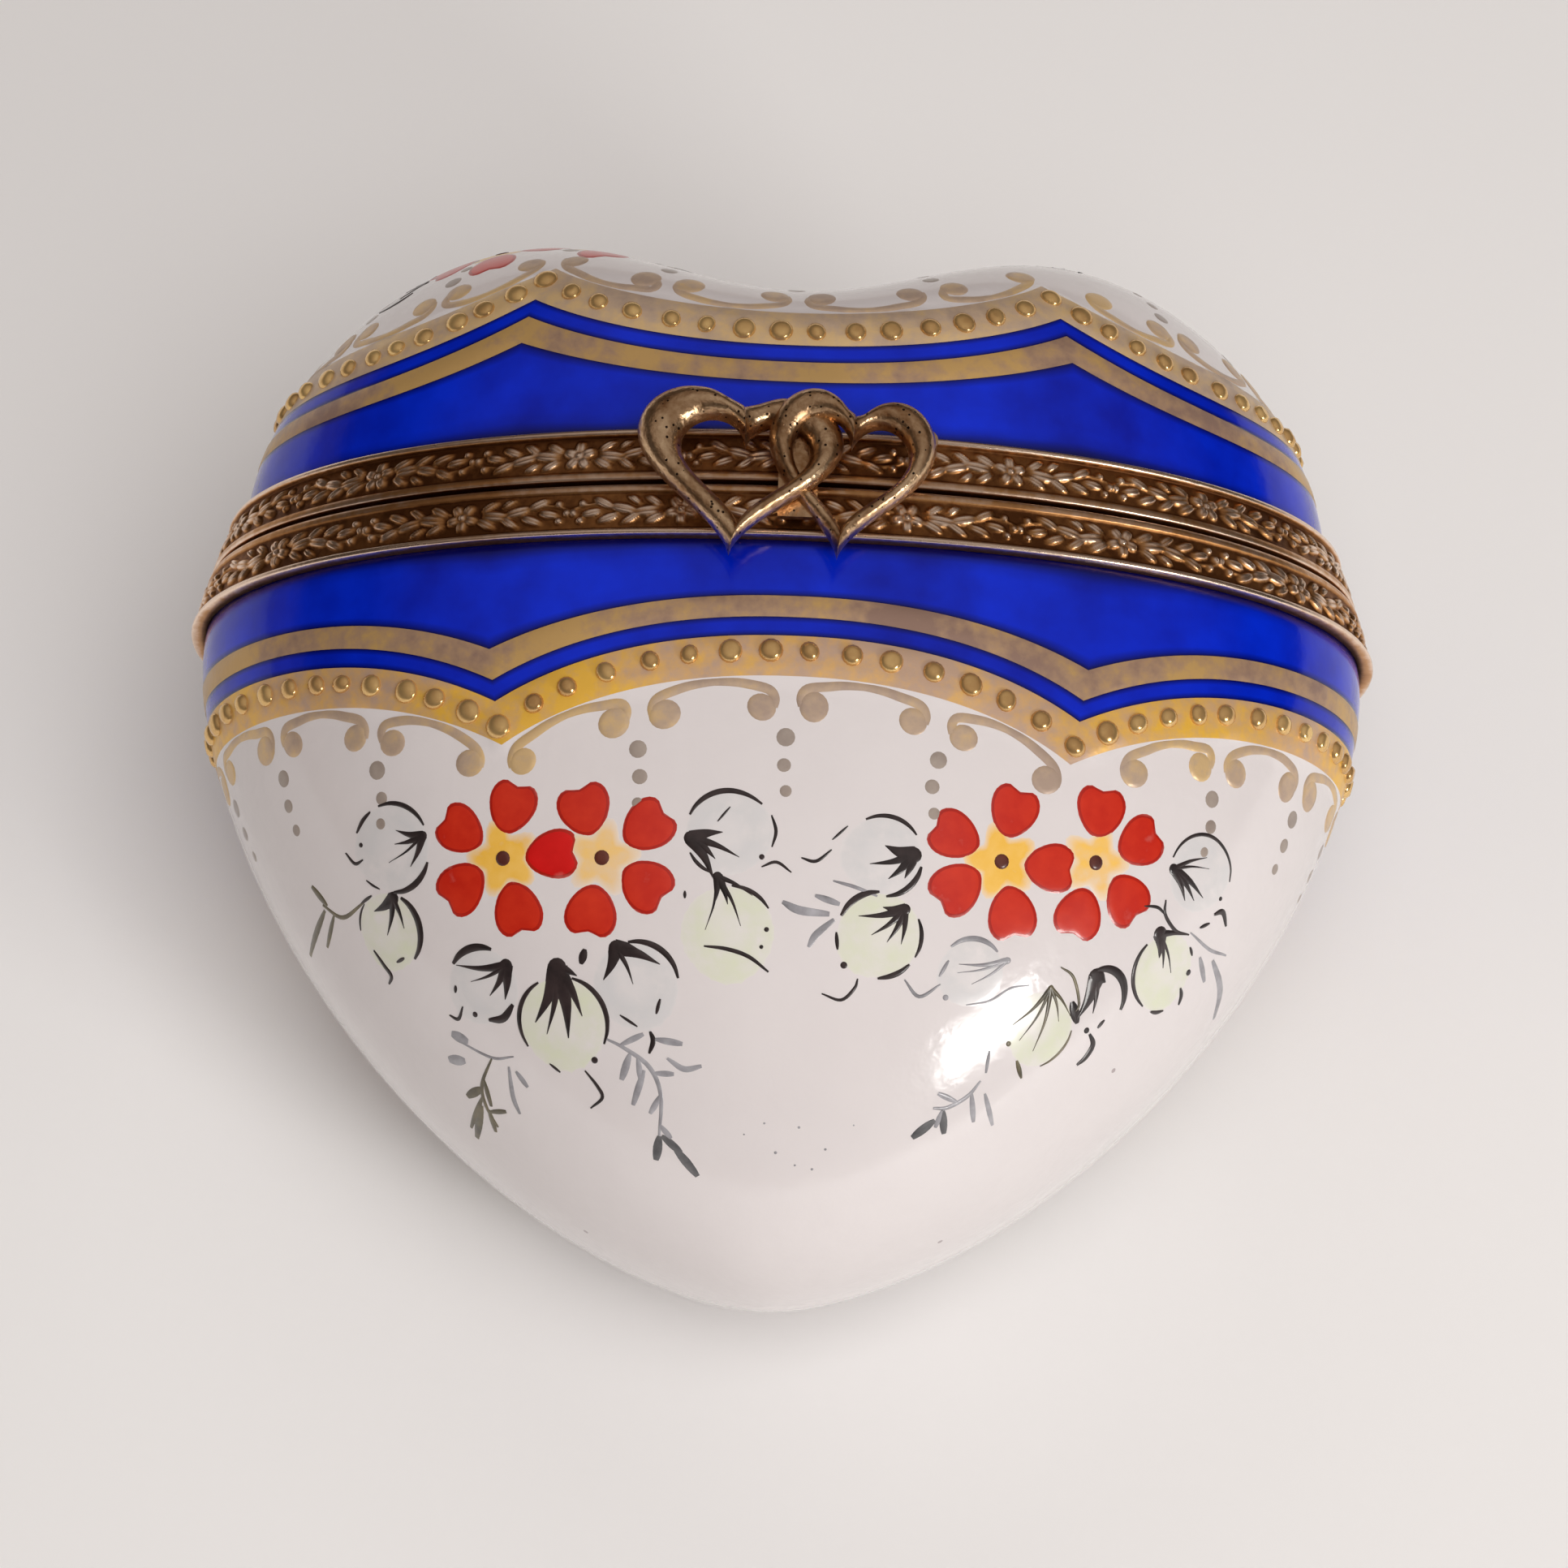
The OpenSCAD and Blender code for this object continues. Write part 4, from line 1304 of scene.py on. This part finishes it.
def makeClaspHeart(key):
    h = claspHearts[key]
    sides = claspHearts["sides"]
    t = 2 * math.pi * (np.arange(claspHearts["steps"]) / claspHearts["steps"])
    t = t + 0.35 * np.sin(2 * t) / 2                     # closer steps at notch and point
    outer = rotate(heartEdge(t, h["outer"], h["web"]), -h["lean"])
    inner = rotate(heartEdge(t, h["inner"]) + [h["shift"], 0], -h["lean"])
    middle = (outer + inner) / 2 + h["centre"]
    half = (outer - inner) / 2
    rise = claspHearts["pointBar"] + (claspHearts["lobeBar"] - claspHearts["pointBar"]) * (1 + np.cos(t)) / 2
    dip = claspHearts["dip"] * np.sin(2 * t) * (1 + h["side"] * np.sin(t)) / 2
    z = float(halfDepth(0.0)) + claspHearts["standOff"] - dip
    rows = []
    for a in 2 * math.pi * np.arange(sides) / sides:
        lift = math.sin(a)
        crown = claspHearts["crown"] * np.linalg.norm(half, axis=1) if lift > 0 else 0
        rows.append(np.column_stack([middle + half * math.cos(a), z + (rise + crown) * lift]))
    job = newJob()
    addGrid(job, np.array(rows).transpose(1, 0, 2), 0, wrap=True, closed=True)
    replaced = [key + "_clasp_heart"]
    faceOutwards(makePiece(job, key + "ClaspHeart", [claspBrass], "lid", replaced))


makeClaspHeart("left")
makeClaspHeart("right")

# the CAD nodes that stay get their own finishes
dressed = {"clasp_posts": claspBrass, "clasp_tongue": claspBrass, "catch_bead": claspBrass,
           "base_hinge_leaves": hingeBronze, "lid_hinge_leaf": hingeBronze, "hinge_pin": claspBrass}
for node, look in dressed.items():
    for finish in frame["nodes"][node].material_slots:
        finish.material = look
print("stage: clasp and hinge made")

studio = {
    "floorSize": 1.6,
    "floorDrop": 0.00002,    # keeps the floor clear of the ground spot
    "floorColour": (0.93, 0.925, 0.92),
    "skyDark": (0.035, 0.028, 0.024),
    "skyMid": (0.22, 0.17, 0.14),
    "skyTop": (0.36, 0.33, 0.31),
    "skySlope": 0.12,        # how much brighter it is to the right than to the left
    # azimuth, where 0 is to the right of the box and 90 behind it, elevation, distance, size, power,
    # colour, and whether it shows in reflections
    "lights": {
        "topPanel": (-72, 62, 1.4, (1.0, 1.0), 9.6, (1.0, 0.985, 0.985), False),
        "frontPanel": (-75, 45, 1.5, (1.0, 1.0), 2.6, (1.0, 0.97, 0.95), False),
        "backPanel": (105, 40, 1.5, (1.0, 1.0), 3.0, (1.0, 0.985, 0.97), False),
        "window": (-46, 20, 0.28, (0.066, 0.056), 0.24, (1.0, 0.98, 0.95), True),
    },
}


def makeFloor():
    half, low = studio["floorSize"] / 2, studio["floorDrop"]
    corners = [(-half, -half, -low), (half, -half, -low), (half, half, -low), (-half, half, -low)]
    mesh = bpy.data.meshes.new("floor")
    mesh.from_pydata(corners, [], [(0, 1, 2, 3)])
    m, tree, inputs = newMaterial("paperFloor", {"Roughness": 0.9})
    tooth = placeGroup(tree, mottle, Broad=30.0, Fine=2200.0, Contrast=0.6)
    pale = studio["floorColour"]
    feed(tree, mixColour(tree, tooth, tuple(c * 0.97 for c in pale), pale), inputs["Base Color"])
    mesh.materials.append(m)
    floor = bpy.data.objects.new("floor", mesh)
    bpy.context.scene.collection.objects.link(floor)


# angles in degrees against the upright heart, distances in millimetres
view = {"turn": 1.24, "nod": -18.8, "roll": -1.6, "distance": 250.0, "aimX": 0.0, "aimY": -7.5,
        "lens": 133.1}


def makeCamera():
    # the box's own axes are turned to the camera's, which sights along -Z
    rad = math.radians
    toCamera = (Matrix.Rotation(rad(view["roll"]), 4, "Z") @ Matrix.Rotation(rad(view["nod"]), 4, "X")
                @ Matrix.Rotation(rad(view["turn"]), 4, "Y"))
    fromCamera = toCamera.inverted()
    place = fromCamera @ Vector((view["aimX"], view["aimY"], view["distance"]))
    data = bpy.data.cameras.new("camera")
    data.lens = view["lens"]
    data.sensor_width = 36.0
    data.clip_start = 0.01
    camera = bpy.data.objects.new("camera", data)
    bpy.context.scene.collection.objects.link(camera)
    turn = Matrix.Rotation(tilt, 4, "X") @ fromCamera.to_3x3().to_4x4()
    camera.matrix_world = Matrix.Translation(Vector(inPlace([place])[0])) @ turn
    bpy.context.scene.camera = camera


def makeLight(name, azimuth, elevation, distance, size, power, colour, glossy):
    a, e = math.radians(azimuth), math.radians(elevation)
    aim = Vector((0, 0, 0.015))
    direction = Vector((math.cos(a) * math.cos(e), math.sin(a) * math.cos(e), math.sin(e)))
    data = bpy.data.lights.new(name, "AREA")
    data.shape = "RECTANGLE"
    data.size, data.size_y = size
    data.energy = power
    data.color = colour
    light = bpy.data.objects.new(name, data)
    bpy.context.scene.collection.objects.link(light)
    light.location = aim + direction * distance
    light.rotation_mode = "QUATERNION"
    light.rotation_quaternion = direction.to_track_quat("Z", "Y")
    light.visible_glossy = glossy


def makeWorld():
    world = bpy.data.worlds.new("studio")
    world.use_nodes = True
    tree = world.node_tree
    place = tree.nodes.new("ShaderNodeTexCoord")
    parts = tree.nodes.new("ShaderNodeSeparateXYZ")
    tree.links.new(place.outputs["Generated"], parts.inputs[0])
    # a dark horizon under a brighter ceiling
    right = mathNode(tree, "MULTIPLY", parts.outputs["X"], studio["skySlope"])
    level = mathNode(tree, "ADD", parts.outputs["Z"], right)
    dark, mid = studio["skyDark"], studio["skyMid"]
    sky = rampNode(tree, level, [(0.0, mid), (0.12, dark), (0.42, dark), (0.72, mid),
                                 (1.0, studio["skyTop"])])
    tree.links.new(sky, tree.nodes["Background"].inputs["Color"])
    bpy.context.scene.world = world


makeFloor()
makeCamera()
makeWorld()
for name, values in studio["lights"].items():
    makeLight(name, *values)
bpy.context.scene.view_settings.view_transform = "Standard"
print("stage: studio set")
